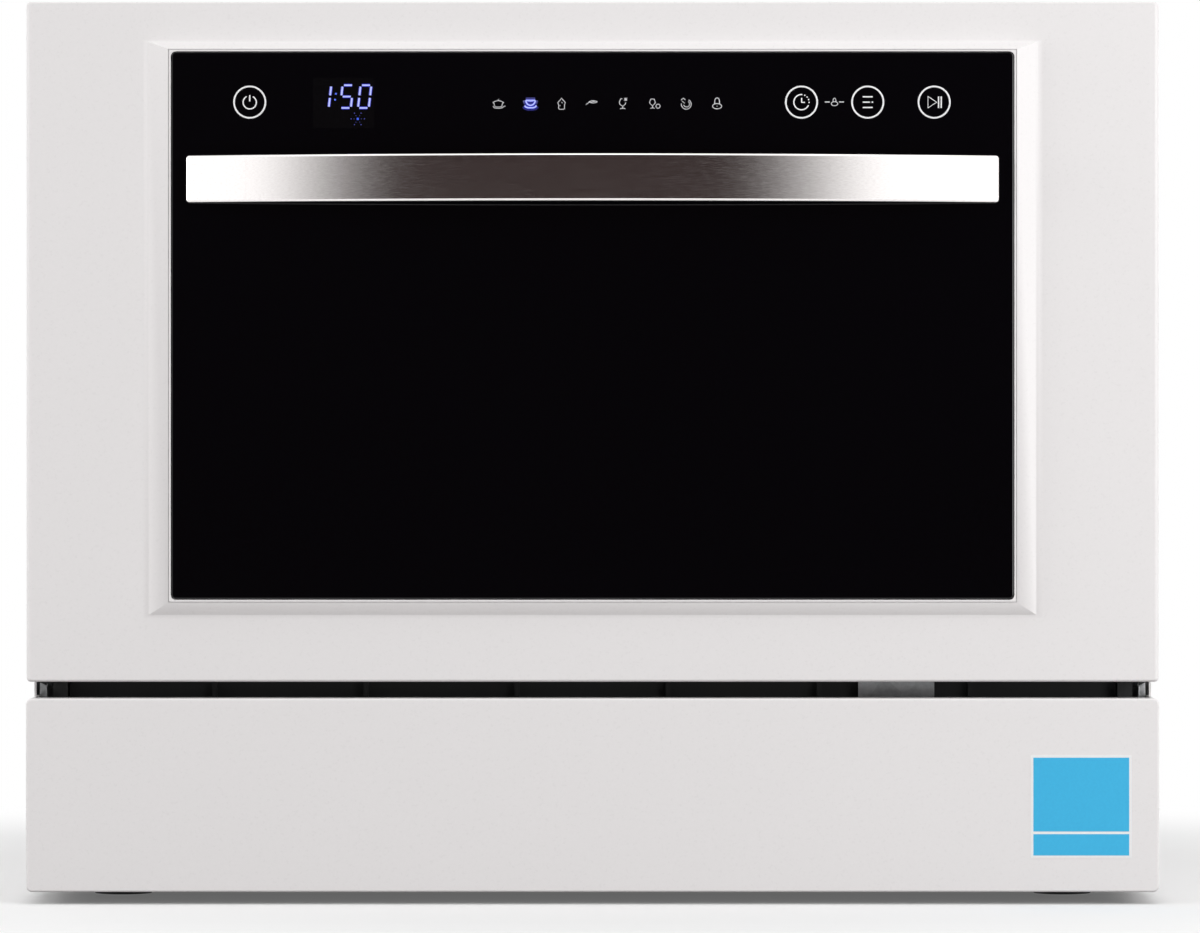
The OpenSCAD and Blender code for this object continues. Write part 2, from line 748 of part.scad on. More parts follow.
// Hub post from the sump up to the spray arm
arm_low = z_floor + 9;
module spray_hub() {
    color("gray") translate([0, y_arm, 0]) {
        translate([0, 0, sump_floor + seat_gap]) cylinder(r = 11, h = z_well + 2 - sump_floor - seat_gap);
        translate([0, 0, z_well]) cylinder(r = 9.5, h = arm_low - seat_gap - z_well);
        translate([0, 0, arm_low - 2]) cylinder(r = pivot_r, h = arm_t + 8);
        translate([0, 0, arm_low + arm_t + 5 + seat_gap]) cylinder(r = pivot_r + 3, h = 4);
    }
}

// Spray arm: two tapered blades with nozzles, turning on the hub's pivot
module spray_arm() {
    tip_w = 22;
    blade = arm_reach - tip_w / 2;
    color("gainsboro") translate([0, y_arm, arm_low]) difference() {
        union() {
            cylinder(r = pivot_r + 10, h = arm_t + 5);
            for (turn = [0, 180]) rotate([0, 0, turn]) {
                linear_extrude(arm_t - 2) {
                    polygon([[0, -arm_w / 2], [blade, -tip_w / 2], [blade, tip_w / 2], [0, arm_w / 2]]);
                    translate([blade, 0]) circle(tip_w / 2);
                }
                translate([0, 0, 1]) linear_extrude(arm_t - 1) {
                    polygon([[0, -arm_w / 2 + 5], [blade, -tip_w / 2 + 4], [blade, tip_w / 2 - 4], [0, arm_w / 2 - 5]]);
                    translate([blade, 0]) circle(tip_w / 2 - 4);
                }
            }
        }
        translate([0, 0, -1]) cylinder(r = pivot_r + pin_gap, h = arm_t + 10);
        for (turn = [0, 180], k = [0 : 4]) rotate([0, 0, turn])
            translate([48 + k * (blade - 48) / 4, (k % 2 - 0.5) * 4, arm_t - 3]) cylinder(r = 1.6, h = 6);
    }
}

// Flat filter plate over the well's middle, with radial slots
module filter_plate() {
    top = z_well + 6;
    color("silver") translate([0, y_arm, 0]) difference() {
        union() {
            translate([0, 0, top - 2]) cylinder(r = plate_r, h = 2);
            difference() {
                translate([0, 0, z_well + seat_gap]) cylinder(r = plate_r, h = top - 1 - z_well - seat_gap);
                translate([0, 0, z_well - 1]) cylinder(r = plate_r - 3, h = top);
            }
        }
        translate([0, 0, z_well - 5]) cylinder(r = 12, h = 20);
        translate([filter_x, 0, z_well - 5]) cylinder(r = filter_r + pass_gap, h = 20);
        for (k = [0 : 35]) if (abs(((k * 10 + 180) % 360) - 180) > 45) rotate([0, 0, k * 10])
            translate([46, 0, z_well - 1]) linear_extrude(20) slot_outline(28, 2);
    }
}

// Round filter: a slotted cup with a grip across its rim, locked by a part turn
module filter_basket() {
    top = z_well + 6 + seat_gap;
    low = z_well - 38;
    color("gray") translate([filter_x, y_arm, 0]) difference() {
        union() {
            translate([0, 0, low]) cylinder(r = filter_r, h = top + 1 - low);
            translate([0, 0, top]) cylinder(r = filter_r + 3, h = 2);
            translate([-filter_r + 1, -1.5, top]) cube([2 * filter_r - 2, 3, 7]);
        }
        difference() {
            translate([0, 0, low + 2]) cylinder(r = filter_r - 2, h = top + 10 - low);
            translate([-filter_r, -1.5, top]) cube([2 * filter_r, 3, 20]);
        }
        for (k = [0 : 11]) rotate([0, 0, k * 30 + 15]) translate([filter_r, 0, low + 21])
            cube([10, 1.6, 28], center = true);
    }
}

// Float over its guide tube, and the switch under the tub
float_pin_r = 3;
module float() {
    color("white") translate([float_x, float_y, 0]) difference() {
        union() {
            translate([0, 0, z_floor + 4]) cylinder(r = float_r, h = 16);
            translate([0, 0, z_floor + 19]) cylinder(r1 = float_r, r2 = float_r - 4, h = 3);
        }
        translate([0, 0, z_floor]) cylinder(r = float_r - 2, h = 14);
        translate([0, 0, z_floor]) cylinder(r = float_pin_r + 0.3, h = 19);
    }
}

module float_switch() {
    color("black") translate([float_x, float_y, 0]) {
        cylinder_low = z_floor - sheet_t - 22;
        translate([0, 0, z_floor - 2.5]) cylinder(r = float_pin_r, h = 19.5);
        translate([-9, -12, cylinder_low]) cube([18, 24, 22 - seat_gap]);
        translate([0, 0, z_floor - sheet_t - 2]) cylinder(r = float_pin_r + 1, h = 3);
        translate([0, 0, z_floor + seat_gap]) cylinder(r = float_r - 3, h = 3);
    }
}

// Water and mains connections in the tray's rear wall
spigot_z = z_tray + 24;
inlet_x = 150;
drain_x = -30;
gland_x = -190;
gland_r = 8;
spigot_off = 1;
neck_in = 0.6;
module inlet_valve() {
    back = y_rear + sheet_t;
    color("white") {
        difference() {
            union() {
                pin_y(back - 26, y_back + spigot_off + 1, inlet_x, spigot_z, inlet_r - neck_in);
                pin_y(y_back + spigot_off, y_back + spigot_reach, inlet_x, spigot_z, inlet_r);
            }
            pin_y(y_back + spigot_reach - 14, y_back + spigot_reach + 1, inlet_x, spigot_z, inlet_r - 3.5);
        }
        pin_y(back - moulded_t - seat_gap - 4, back - moulded_t - seat_gap, inlet_x, spigot_z, inlet_r + 5);
        block([inlet_x - 13, back - 62, spigot_z - 12], [inlet_x + 13, back - 24, spigot_z + 12]);
        translate([inlet_x, back - 44, spigot_z + 11]) cylinder(r = 11, h = 26);
        pin_x(inlet_x - 30, inlet_x - 12, back - 44, spigot_z, 6);
    }
}

module drain_spigot() {
    back = y_rear + sheet_t;
    tip = y_back + spigot_reach;
    color("gray") difference() {
        union() {
            pin_y(back - 34, y_back + spigot_off + 1, drain_x, spigot_z, drain_r - neck_in);
            pin_y(y_back + spigot_off, tip, drain_x, spigot_z, drain_r);
            pin_y(back - moulded_t - seat_gap - 4, back - moulded_t - seat_gap, drain_x, spigot_z, drain_r + 6);
        }
        pin_y(back - 30, tip + 1, drain_x, spigot_z, drain_r - 3);
    }
}

module cord_gland() {
    back = y_rear + sheet_t;
    color("black") difference() {
        union() {
            pin_y(back - moulded_t - 4, back + 2.6, gland_x, spigot_z, gland_r - 0.1);
            pin_y(back + seat_gap, back + 2.9, gland_x, spigot_z, gland_r + 3);
            pin_y(back - moulded_t - 6, back - moulded_t - seat_gap, gland_x, spigot_z, gland_r + 2);
        }
        pin_y(back - 20, back + 20, gland_x, spigot_z, gland_bore_r);
    }
}

// Air break: thin chamber beside the tub that meters the fresh water
module air_break() {
    x = -tub_w / 2 - sheet_t - seat_gap;
    thick = side_bay / 2 - 2;
    long = tub_d / 2;
    high = tub_h - 70;
    color("white") {
        along_x(x - thick, thick) translate([y_arm + 10, z_floor + tub_h / 2]) rounded(long, high, 12);
        for (k = [-1 : 2]) along_x(x - thick - 2, 3)
            translate([y_arm + 10, z_floor + tub_h / 2 + (k - 0.5) * high / 5]) slot_outline(0.75 * long, 5);
        translate([x - thick / 2, y_arm + 90, z_floor + 14]) cylinder(r = 7, h = 30);
    }
}

// Hoses inside the cabinet
module inlet_hose() {
    back = y_rear + sheet_t;
    x = -tub_w / 2 - sheet_t - seat_gap - side_bay / 4 + 1;
    color("gray") pipe([
        [inlet_x - 30 - seat_gap, back - 44, spigot_z], [inlet_x - 52, back - 44, spigot_z],
        [inlet_x - 52, back - 58, z_tray_top + 16], [x, back - 58, z_tray_top + 16],
        [x, y_arm + 90, z_tray_top + 16], [x, y_arm + 90, z_floor + 14 - seat_gap]
    ], 6);
}

module drain_hose() {
    back = y_rear + sheet_t;
    y = y_arm + sump_r + 14 + seat_gap + 18;
    z = sump_floor + 26;
    loop_y = y_tub + tub_d + sheet_t + 14;
    color("dimgray") pipe([
        [70 + seat_gap, y, z], [96, y, z], [96, loop_y, z], [96, loop_y, z_floor + 190],
        [drain_x, loop_y, z_floor + 190], [drain_x, loop_y, z_tray_top + 14],
        [drain_x, back - 60, spigot_z], [drain_x, back - 34 - seat_gap, spigot_z]
    ], 8);
}

// Main board in its box on the tray
module power_board() {
    wide = 80;
    long = 130;
    high = 34;
    x = tray_half - moulded_t - wide - 8;
    y = y_tub + 60;
    low = z_tray + 10 + seat_gap;
    color("beige") difference() {
        union() {
            block([x, y, low], [x + wide, y + long, low + high]);
            block([x + 6, y - 6, low], [x + 20, y + long + 6, low + 3]);
            for (k = [0 : 4])
                block([x + 14 + k * 12, y + 20, low + high - 4], [x + 17 + k * 12, y + long - 20, low + high + 3]);
        }
        for (k = [0 : 2]) pin_x(x + wide - 10, x + wide + 1, y + 30 + k * 34, low + high / 2, 6);
        for (side = [-3, long + 3]) translate([x + 13, y + side, low - 1]) cylinder(r = 1.8, h = 5);
    }
}

module rear_screws() {
    mid = (z_tray_top + cabinet_h) / 2;
    color("silver") for (x = [-side_in + 14, side_in - 14], z = [z_tray_top + 18, mid, cabinet_h - 24]) {
        pin_y(y_rear + sheet_t, y_rear + sheet_t + 2.2, x, z, 4);
    }
}

// Door outer panel: a pan with a raised frame round the glass
module frustum(shrink, lift) {
    low_in = z_glass - frame_rim + shrink;
    high_in = z_glass + glass_h + frame_rim - shrink;
    half_in = glass_w / 2 + frame_rim - shrink;
    face = y_front - frame_raise + lift;
    root = y_front + lift;
    intersection() {
        translate([0, 0, z_door]) linear_extrude(cabinet_h - z_door) polygon([
            [-half_in - slope_side, root + 1], [-half_in - slope_side, root], [-half_in, face],
            [half_in, face], [half_in + slope_side, root], [half_in + slope_side, root + 1]
        ]);
        along_x(-cabinet_w / 2, cabinet_w) polygon([
            [root + 1, low_in - slope_low], [root, low_in - slope_low], [face, low_in],
            [face, high_in], [root, high_in + slope_top], [root + 1, high_in + slope_top]
        ]);
    }
}

module door_shell(inset) {
    r = 3;
    w = door_w - 2 * inset;
    h = cabinet_h - z_door - 2 * inset;
    mid = (cabinet_h + z_door) / 2;
    back = y_liner - sheet_t - seat_gap;
    face = y_front + inset;
    intersection() {
        along_y(face, back - face) translate([0, mid]) rounded(w, h, r - inset / 2);
        along_x(-cabinet_w / 2, cabinet_w) {
            translate([face, mid - h / 2 + r]) square([r + 1, h - 2 * r]);
            translate([face + r, mid - h / 2]) square([door_t, h]);
            for (z = [-1, 1]) translate([face + r, mid + z * (h / 2 - r)]) circle(r);
        }
    }
}

module door_panel() {
    ledge = 8;
    ledge_t = 2.5;
    back = y_liner - sheet_t - seat_gap;
    color("whitesmoke") difference() {
        union() {
            difference() {
                union() {
                    door_shell(0);
                    frustum(0, 0);
                }
                translate([0, eps, 0]) door_shell(door_wall);
                block([-liner_half, back - 1, z_door + door_wall], [liner_half, back + 2, cabinet_h - door_wall]);
                frustum(door_wall, door_wall);
            }
            along_y(y_glass_back + seat_gap, ledge_t) translate([0, z_glass_mid]) difference() {
                rounded(glass_w + 7, glass_h + 7, 3);
                rounded(glass_w - 2 * ledge, glass_h - 2 * ledge, 3);
            }
            for (x = [-1, 1]) along_y(y_glass_back + seat_gap, ledge_t)
                translate([x * (post_x + 4), z_bar]) square([36, 36], center = true);
        }
        along_y(y_glass - 5, glass_t + 5 + seat_gap) translate([0, z_glass_mid])
            rounded(glass_w + 2 * glass_gap, glass_h + 2 * glass_gap, glass_corner + glass_gap);
        for (x = [-post_x, post_x]) pin_y(y_front - 10, y_front + 10, x, z_bar, 3);
        block([-door_w, y_hinge + 18, z_door - 1], [door_w, y_liner + 1, z_door + door_wall + eps]);
        for (x = [-1, 1]) block(
            [x > 0 ? frame_half - 3 : -door_w / 2 + door_wall, y_front + door_wall, z_door - 1],
            [x > 0 ? door_w / 2 - door_wall : -frame_half + 3, y_liner + 1, z_door + door_wall + 2]
        );
    }
}

module glass_panel() {
    color("black") along_y(y_glass, glass_t) difference() {
        translate([0, z_glass_mid]) rounded(glass_w, glass_h, glass_corner);
        for (x = [-post_x, post_x]) translate([x, z_bar]) circle(3);
    }
}

// Handle: a bar bowed to a long arc, on two posts
bow_r = (pow(bar_l / 2, 2) + pow(bar_bow, 2)) / (2 * bar_bow);
bow_y = y_front - handle_reach + bow_r;
bar_angle = asin(bar_l / 2 / bow_r);
post_x = bar_l / 2 - post_in;
module bar_profile(grow) {
    translate([bow_r - bar_t / 2, 0]) {
        rounded(bar_t + 2 * grow, bar_h + 2 * grow, 1.4);
    }
}

module bar_sweep(grow, angle) {
    translate([0, bow_y, z_bar]) rotate([0, 0, 270 - angle]) rotate_extrude(angle = 2 * angle, $fn = 240)
        bar_profile(grow);
}

module handle_bar() {
    color("silver") difference() {
        union() {
            bar_sweep(0, bar_angle);
            for (x = [-post_x, post_x]) pin_y(y_glass - 7, y_glass, x, z_bar, post_r);
        }
        translate([0, bow_y, z_bar - bar_h / 2 + 2.6]) difference() {
            cylinder(r = bow_r + 1, h = 0.6, $fn = 240);
            translate([0, 0, -1]) cylinder(r = bow_r - 0.35, h = 4, $fn = 240);
        }
        for (x = [-post_x, post_x]) pin_y(y_glass - 8, y_glass + 1, x, z_bar, 2);
    }
}

module handle_screws() {
    head_y = y_glass_back + seat_gap + 2.5;
    color("silver") both_sides() {
        pin_y(y_glass - 7, head_y + 1, post_x, z_bar, 1.9);
        pin_y(head_y, head_y + 3, post_x, z_bar, 4.5);
    }
}

// Control housing behind the upper strip of glass
housing_z = z_glass + glass_h - 25;
housing_h = 28;
housing_deep = 16;
housing_wall = 2;
module control_housing() {
    y = y_glass_back + seat_gap;
    half = glass_w / 2 - 9;
    inner = housing_h / 2 - housing_wall;
    color("black") difference() {
        block([-half, y, housing_z - housing_h / 2], [half, y + housing_deep, housing_z + housing_h / 2]);
        block(
            [-half + housing_wall, y - 1, housing_z - inner],
            [half - housing_wall, y + housing_deep - housing_wall, housing_z + inner]
        );
    }
}

module control_board() {
    y = y_glass_back + seat_gap + housing_deep - housing_wall;
    half = glass_w / 2 - 15;
    color("darkgreen") {
        block([-half, y - 1.9, housing_z - 11], [half, y - seat_gap, housing_z + 11]);
        for (x = key_x) translate([x, y - 1.5, housing_z]) rotate([90, 0, 0]) cylinder(r = 7, h = y - 1.5 - y_glass_back - 1);
    }
}

key_x = [-166.1, 101.2, 133.3, 165.5];
module display_module() {
    y = y_glass_back + 2 * seat_gap;
    deep = 11;
    color("dimgray") {
        along_y(y, deep) translate([-115, housing_z]) square([40, 18], center = true);
        along_y(y, deep) translate([7, housing_z]) square([118, 12], center = true);
    }
}

// Door liner: pressed steel pan that closes the door's back
dispenser_z = (z_hinge + z_tub_top) / 2 - 6;
module door_liner() {
    low = z_hinge - 8;
    high = cabinet_h - door_wall - seat_gap;
    half = liner_half;
    lip = 9;
    color("lightgray") difference() {
        union() {
            block([-half, y_liner - sheet_t, low], [half, y_liner, high]);
            block([-half, y_liner - lip, high - sheet_t], [half, y_liner, high]);
            block([-frame_half + 4, y_liner - lip, low], [frame_half - 4, y_liner, low + sheet_t]);
            for (x = [-1, 1]) block(
                [x > 0 ? half - sheet_t : -half, y_liner - lip, z_hinge + 114],
                [x > 0 ? half : -half + sheet_t, y_liner, high]
            );
            along_y(y_liner - eps, 1.2) translate([0, dispenser_z]) difference() {
                rounded(tub_w - 60, tub_h - 60, 20);
                rounded(tub_w - 80, tub_h - 80, 14);
            }
        }
        along_y(y_liner - 10, 20) translate([0, dispenser_z]) rounded(dispenser_w - 8, dispenser_h - 8, 6);
        block([-11, y_liner - 12, strike_z - 4.5], [11, y_liner + 5, strike_z + 4]);
    }
}

// Latch body at the door's top and its sprung pawl
module latch_body() {
    low = strike_z - 16;
    high = strike_z + 10;
    front = y_liner - 30;
    back = y_liner - sheet_t - seat_gap;
    color("black") difference() {
        block([-26, front, low], [26, back, high]);
        block([-11, front + 4, strike_z - 4.5], [11, back + 1, strike_z + 4]);
        block([-6, front + 4, low - 1], [6, back + 1, strike_z]);
        pin_x(-20, 20, pawl_y, pawl_z, 1.5);
    }
}

pawl_y = y_liner - 10;
pawl_z = strike_z - 11;
module latch_pawl() {
    color("white") {
        pin_x(-19.5, 19.5, pawl_y, pawl_z, 1.5 - pin_gap);
        along_x(-4.5, 9) {
            translate([pawl_y, pawl_z]) circle(3.5);
            polygon([
                [pawl_y - 2, pawl_z], [pawl_y - 8, pawl_z + 7], [pawl_y - 6, pawl_z + 8.5],
                [pawl_y + 2, pawl_z + 3]
            ]);
        }
    }
}

// Dispenser: face plate, detergent cup under a sliding lid, rinse-aid tank and cap
cup_x = -dispenser_w / 2 + 22 + cup_w / 2;
rinse_x = dispenser_w / 2 - 8 - rinse_r;
plate_out = 2.6;
lid_w = cup_w + 10;
lid_h = cup_h + 10;
lid_t = 2.5;
catch_x = cup_x - lid_w / 2 - 7;
module dispenser_body() {
    face = y_liner + plate_out;
    inner_w = dispenser_w - 8 - 2 * seat_gap;
    inner_h = dispenser_h - 8 - 2 * seat_gap;
    rail_l = lid_w + lid_travel - 2;
    color("white") difference() {
        union() {
            along_y(y_liner + seat_gap, plate_out - seat_gap) translate([0, dispenser_z])
                rounded(dispenser_w, dispenser_h, 8);
            along_y(y_liner - cup_deep - 2, cup_deep + 3) translate([0, dispenser_z]) rounded(inner_w, inner_h, 5);
            for (z = [-1, 1]) block(
                [cup_x - lid_w / 2, face - 1, dispenser_z + z * (lid_h / 2 + seat_gap) - (z < 0 ? 2.5 : 0)],
                [cup_x - lid_w / 2 + rail_l, face + lid_t + 1.5, dispenser_z + z * (lid_h / 2 + seat_gap) + (z < 0 ? 0 : 2.5)]
            );
            for (z = [-1, 1]) block(
                [cup_x - lid_w / 2, face + lid_t + 2 * seat_gap, dispenser_z + z * (lid_h / 2 - 1) - 1.5],
                [cup_x - lid_w / 2 + rail_l, face + lid_t + 1.5, dispenser_z + z * (lid_h / 2 - 1) + 1.5]
            );
        }
        block([cup_x - cup_w / 2, y_liner - cup_deep, dispenser_z - cup_h / 2], [cup_x + cup_w / 2, face + 1, dispenser_z + cup_h / 2]);
        pin_y(y_liner - 14, face + 1, rinse_x, dispenser_z, rinse_r - 6 + pin_gap);
        pin_y(y_liner - 6, face + 1, catch_x, dispenser_z, 3 + pass_gap / 2);
    }
}

module detergent_lid() {
    face = y_liner + plate_out + seat_gap;
    color("lightgray") difference() {
        along_y(face, lid_t) translate([cup_x, dispenser_z]) rounded(lid_w - 0.4, lid_h, 3);
        for (k = [-1 : 1]) block(
            [cup_x + 14 + k * 5, face + lid_t - 0.8, dispenser_z - 12],
            [cup_x + 16 + k * 5, face + lid_t + 1, dispenser_z + 12]
        );
    }
}

module rinse_cap() {
    face = y_liner + plate_out + seat_gap;
    color("royalblue") {
        pin_y(y_liner - 12, face + 1, rinse_x, dispenser_z, rinse_r - 6);
        pin_y(face, face + 2.5, rinse_x, dispenser_z, rinse_r);
        block([rinse_x - rinse_r + 3, face + 2, dispenser_z - 2], [rinse_x + rinse_r - 3, face + 5, dispenser_z + 2]);
    }
}

module lid_catch() {
    face = y_liner + plate_out;
    color("gray") pin_y(y_liner - 3.4, face + 2.4, catch_x, dispenser_z, 3);
}

// Dish rack: bent wires welded where they cross. Every wire is a piece of its own, and
// weld_gap parts it from the wires that it is welded to
weld_gap = 0.05;
bend_swell = 0.25;
z_long = z_rack + 2 * wire_r + weld_gap;
function lean_at(z) = rack_lean * (z - z_rack) / rack_h;
function rim_off(r) = wire_r + bend_swell + weld_gap + r;

module cross_wire(y) {
    side = rack_w / 2;
    for (x = [-1, 1]) {
        rod([x * side, y, z_rack], [x * (side + rack_lean), y, z_rim + 1], wire_r);
        translate([x * side, y, z_rack]) sphere(wire_r + bend_swell);
    }
    rod([-side, y, z_rack], [side, y, z_rack], wire_r);
}

module long_wire(x) {
    rod([x, rack_front, z_long], [x, rack_front - rack_lean, z_rim + 1], wire_r);
    rod([x, rack_back, z_long], [x, rack_back + rack_lean, z_rim + 1], wire_r);
    for (y = [rack_front, rack_back]) translate([x, y, z_long]) sphere(wire_r + bend_swell);
    rod([x, rack_front, z_long], [x, rack_back, z_long], wire_r);
}

cross_n = 4;
long_n = 4;
module rack_wires() {
    color("gainsboro") {
        for (k = [-cross_n : cross_n]) cross_wire(rack_y + k * cross_pitch);
        for (k = [-long_n : long_n]) long_wire(k * long_pitch);
    }
}

module rim_loop(z, r) {
    half_w = rack_w / 2 + lean_at(z) + rim_off(r);
    half_d = rack_d / 2 + lean_at(z) + rim_off(r);
    c = rack_corner + lean_at(z);
    translate([0, rack_y, z]) {
        for (x = [-1, 1]) rod([x * half_w, -half_d + c, 0], [x * half_w, half_d - c, 0], r);
        for (y = [-1, 1]) rod([-half_w + c, y * half_d, 0], [half_w - c, y * half_d, 0], r);
        for (q = [0 : 3]) translate([(q == 0 || q == 3 ? 1 : -1) * (half_w - c), (q < 2 ? 1 : -1) * (half_d - c), 0])
            rotate([0, 0, q * 90]) rotate_extrude(angle = 90) translate([c, 0]) circle(r);
    }
}

module rack_rims() {
    color("gainsboro") {
        rim_loop(z_rack, rim_r);
        rim_loop(z_rack + rack_h / 2, wire_r);
        rim_loop(z_rim, rim_r);
    }
}

// Two combs of leaning tines for plates, each on a wire that lies across the floor wires
tine_x = [-85, 34];
tine_lean = 8;
module rack_tines() {
    reach = (cross_n + 0.3) * cross_pitch;
    color("gainsboro") for (x = tine_x) {
        rod([x, rack_y - reach, z_long], [x, rack_y + reach, z_long], wire_r);
        for (k = [-cross_n + 1 : cross_n - 1]) {
            y = rack_y + k * tine_pitch;
            rod([x, y, z_long], [x - tine_lean, y, z_rack + tine_h], wire_r);
            translate([x - tine_lean, y, z_rack + tine_h]) sphere(wire_r + 0.2);
        }
    }
}

// Frame on the rack's left rims that carries the cup shelf
module rack_shelf_frame() {
    end = shelf_l / 2 + 10;
    color("gainsboro") {
        for (y = shelf_posts) {
            rod([-post_wire_x + rack_lean / 2, y, z_rim - rack_h / 2], [-post_wire_x, y, z_rim], wire_r);
            translate([-post_wire_x, y, z_rim]) sphere(wire_r + bend_swell);
            rod([-post_wire_x, y, z_rim], [-post_wire_x, y, z_shelf], wire_r);
        }
        rod([-post_wire_x, rack_y - end, z_shelf], [-post_wire_x, rack_y + end, z_shelf], wire_r);
    }
}

// Clips under the rack with the rollers' axles
clip_x = roller_x - roller_w / 2 - seat_gap;
roller_places = [[-1, front_roller_y], [1, front_roller_y], [-1, rear_roller_y], [1, rear_roller_y]];
module roller_clip() {
    wire_x = rack_w / 2 + rim_off(rim_r);
    difference() {
        union() {
            along_x(wire_x - 4.5, clip_x - wire_x + 4.5) translate([0, z_rack]) rounded(20, 14, 3);
            along_x(clip_x - 4, 4) {
                translate([0, z_axle]) circle(7);
                translate([-7, z_axle]) square([14, rack_drop]);
            }
            pin_x(clip_x - 1, roller_x + roller_w / 2 + 2.2, 0, z_axle, pin_r);
            pin_x(roller_x + roller_w / 2 + seat_gap, roller_x + roller_w / 2 + 2.2, 0, z_axle, pin_r + 1.5);
        }
        pin_y(-20, 20, wire_x, z_rack, rim_r + 0.1);
    }
}

module roller_clips() {
    color("white") for (place = roller_places)
        translate([0, place[1], 0]) mirror([place[0] > 0 ? 0 : 1, 0, 0]) roller_clip();
}

module roller(place) {
    half = roller_w / 2;
    color("dimgray") translate([place[0] * roller_x, place[1], z_axle]) rotate([0, 90, 0]) difference() {
        rotate_extrude() polygon([
            [pin_r + pin_gap, -half], [6, -half], [6.5, -half + 1.2], [9, -half + 1.2], [9.5, -half],
            [roller_r - 1, -half], [roller_r, -half + 1], [roller_r, half - 1], [roller_r - 1, half],
            [9.5, half], [9, half - 1.2], [6.5, half - 1.2], [6, half], [pin_r + pin_gap, half]
        ]);
    }
}

module roller_front_left() roller(roller_places[0]);
module roller_front_right() roller(roller_places[1]);
module roller_rear_left() roller(roller_places[2]);
module roller_rear_right() roller(roller_places[3]);

// Folding cup shelf: wire frame with eyes round the rack's pivot wire
post_wire_x = rack_w / 2 + rack_lean;
shelf_posts = [rack_y - shelf_l / 2 - 8, rack_y + shelf_l / 2 + 8];
module cup_shelf() {
    inner = -post_wire_x;
    tip = inner + shelf_reach;
    bars = 6;
    eye = wire_r + 1.8;
    color("gainsboro") {
        difference() {
            union() {
                for (y = [-1, 1]) pin_y(
                    rack_y + y * (shelf_l / 2 - 22) - 8, rack_y + y * (shelf_l / 2 - 22) + 8, inner, z_shelf, eye
                );
                for (y = [-1, 1]) rod(
                    [inner + 2.4, rack_y + y * (shelf_l / 2 - 22), z_shelf], [inner + 10, rack_y + y * (shelf_l / 2 - 22), z_shelf], 1.7
                );
            }
            pin_y(rack_y - shelf_l, rack_y + shelf_l, inner, z_shelf, wire_r + pin_gap);
        }
        for (x = [inner + 9, tip - 4]) rod([x, rack_y - shelf_l / 2 + 4, z_shelf], [x, rack_y + shelf_l / 2 - 4, z_shelf], wire_r);
        for (k = [0 : bars]) {
            y = rack_y - shelf_l / 2 + 6 + k * (shelf_l - 12) / bars;
            rod([inner + 7, y, z_shelf - 3.2], [tip, y, z_shelf - 3.2], 1.7);
        }
    }
}

// Cutlery basket: open box of slotted walls, split into cells
basket_x = tub_w / 2 - 77;
basket_y = rack_y - 20;
basket_low = z_long + wire_r + seat_gap;
basket_wall = 2.5;
basket_cell = (basket_l - basket_wall) / basket_cells;
module cutlery_basket() {
    slot_low = 14;
    slot_h = basket_h - 26;
    slot_w = 5;
    inner = basket_cell - basket_wall;
    color("lightsteelblue") translate([basket_x, basket_y, basket_low]) difference() {
        translate([0, 0, basket_h / 2]) cube([basket_w, basket_l, basket_h], center = true);
        for (k = [0 : basket_cells - 1]) {
            near = -basket_l / 2 + basket_wall + k * basket_cell;
            block(
                [basket_wall - basket_w / 2, near, basket_wall],
                [basket_w / 2 - basket_wall, near + inner, basket_h + 1]
            );
            for (j = [0 : 2]) translate([0, near + (j + 0.5) * inner / 3, slot_low + slot_h / 2])
                cube([2 * basket_w, slot_w, slot_h], center = true);
            for (i = [-1 : 1], j = [0 : 2]) translate([i * basket_w / 3.5, near + (j + 0.5) * inner / 3, -1])
                cylinder(r = slot_w / 2, h = 2 * basket_wall);
        }
        for (i = [-1 : 1]) translate([i * basket_w / 3.5, 0, slot_low + slot_h / 2])
            cube([slot_w, 2 * basket_l, slot_h], center = true);
    }
}

// Grip of the cutlery basket: an arch that stands in the two middle cells
module basket_grip() {
    leg = 11;
    rise = 28;
    half = basket_l / 2 - basket_wall - basket_cell - seat_gap;
    notch = basket_wall / 2 + seat_gap;
    color("steelblue") translate([basket_x, basket_y, basket_low]) along_x(-basket_wall / 2, basket_wall) difference() {
        translate([-half, basket_wall + seat_gap]) square([2 * half, basket_h + rise - basket_wall]);
        translate([leg - half, basket_wall]) square([2 * (half - leg), basket_h + rise - basket_wall - leg]);
        if (basket_cells % 2 == 0) translate([-notch, 0]) square([2 * notch, basket_h + seat_gap]);
    }
}

cabinet_wrap();
rear_panel();
base_tray();
feet();
kick_plate();
kick_bracket();
front_beam();
tub();
rack_rails();
door_seal();
latch_strike();
hinge_brackets();
door_spring_left();
door_spring_right();
sump();
wash_pump();
drain_pump();
heater();
spray_hub();
spray_arm();
filter_plate();
filter_basket();
float();
float_switch();
inlet_valve();
drain_spigot();
cord_gland();
air_break();
inlet_hose();
drain_hose();
power_board();
rear_screws();
door_panel();
glass_panel();
handle_bar();
handle_screws();
control_housing();
control_board();
display_module();
door_liner();
hinge_arm_left();
hinge_arm_right();
latch_body();
latch_pawl();
dispenser_body();
detergent_lid();
rinse_cap();
lid_catch();
rack_wires();
rack_rims();
rack_tines();
rack_shelf_frame();
roller_clips();
roller_front_left();
roller_front_right();
roller_rear_left();
roller_rear_right();
cup_shelf();
cutlery_basket();
basket_grip();
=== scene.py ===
"""Looks of a countertop dishwasher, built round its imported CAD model.

Metres; +Z is up, the door faces -Y and +X is to the right seen from the front. Each sub-assembly
is a class with its sizes as fields. New pieces are modelled with Blender's operators.
"""

import logging
import math
from contextlib import contextmanager
from dataclasses import dataclass, replace
from enum import Enum
from typing import Callable, Iterable, Iterator, Sequence

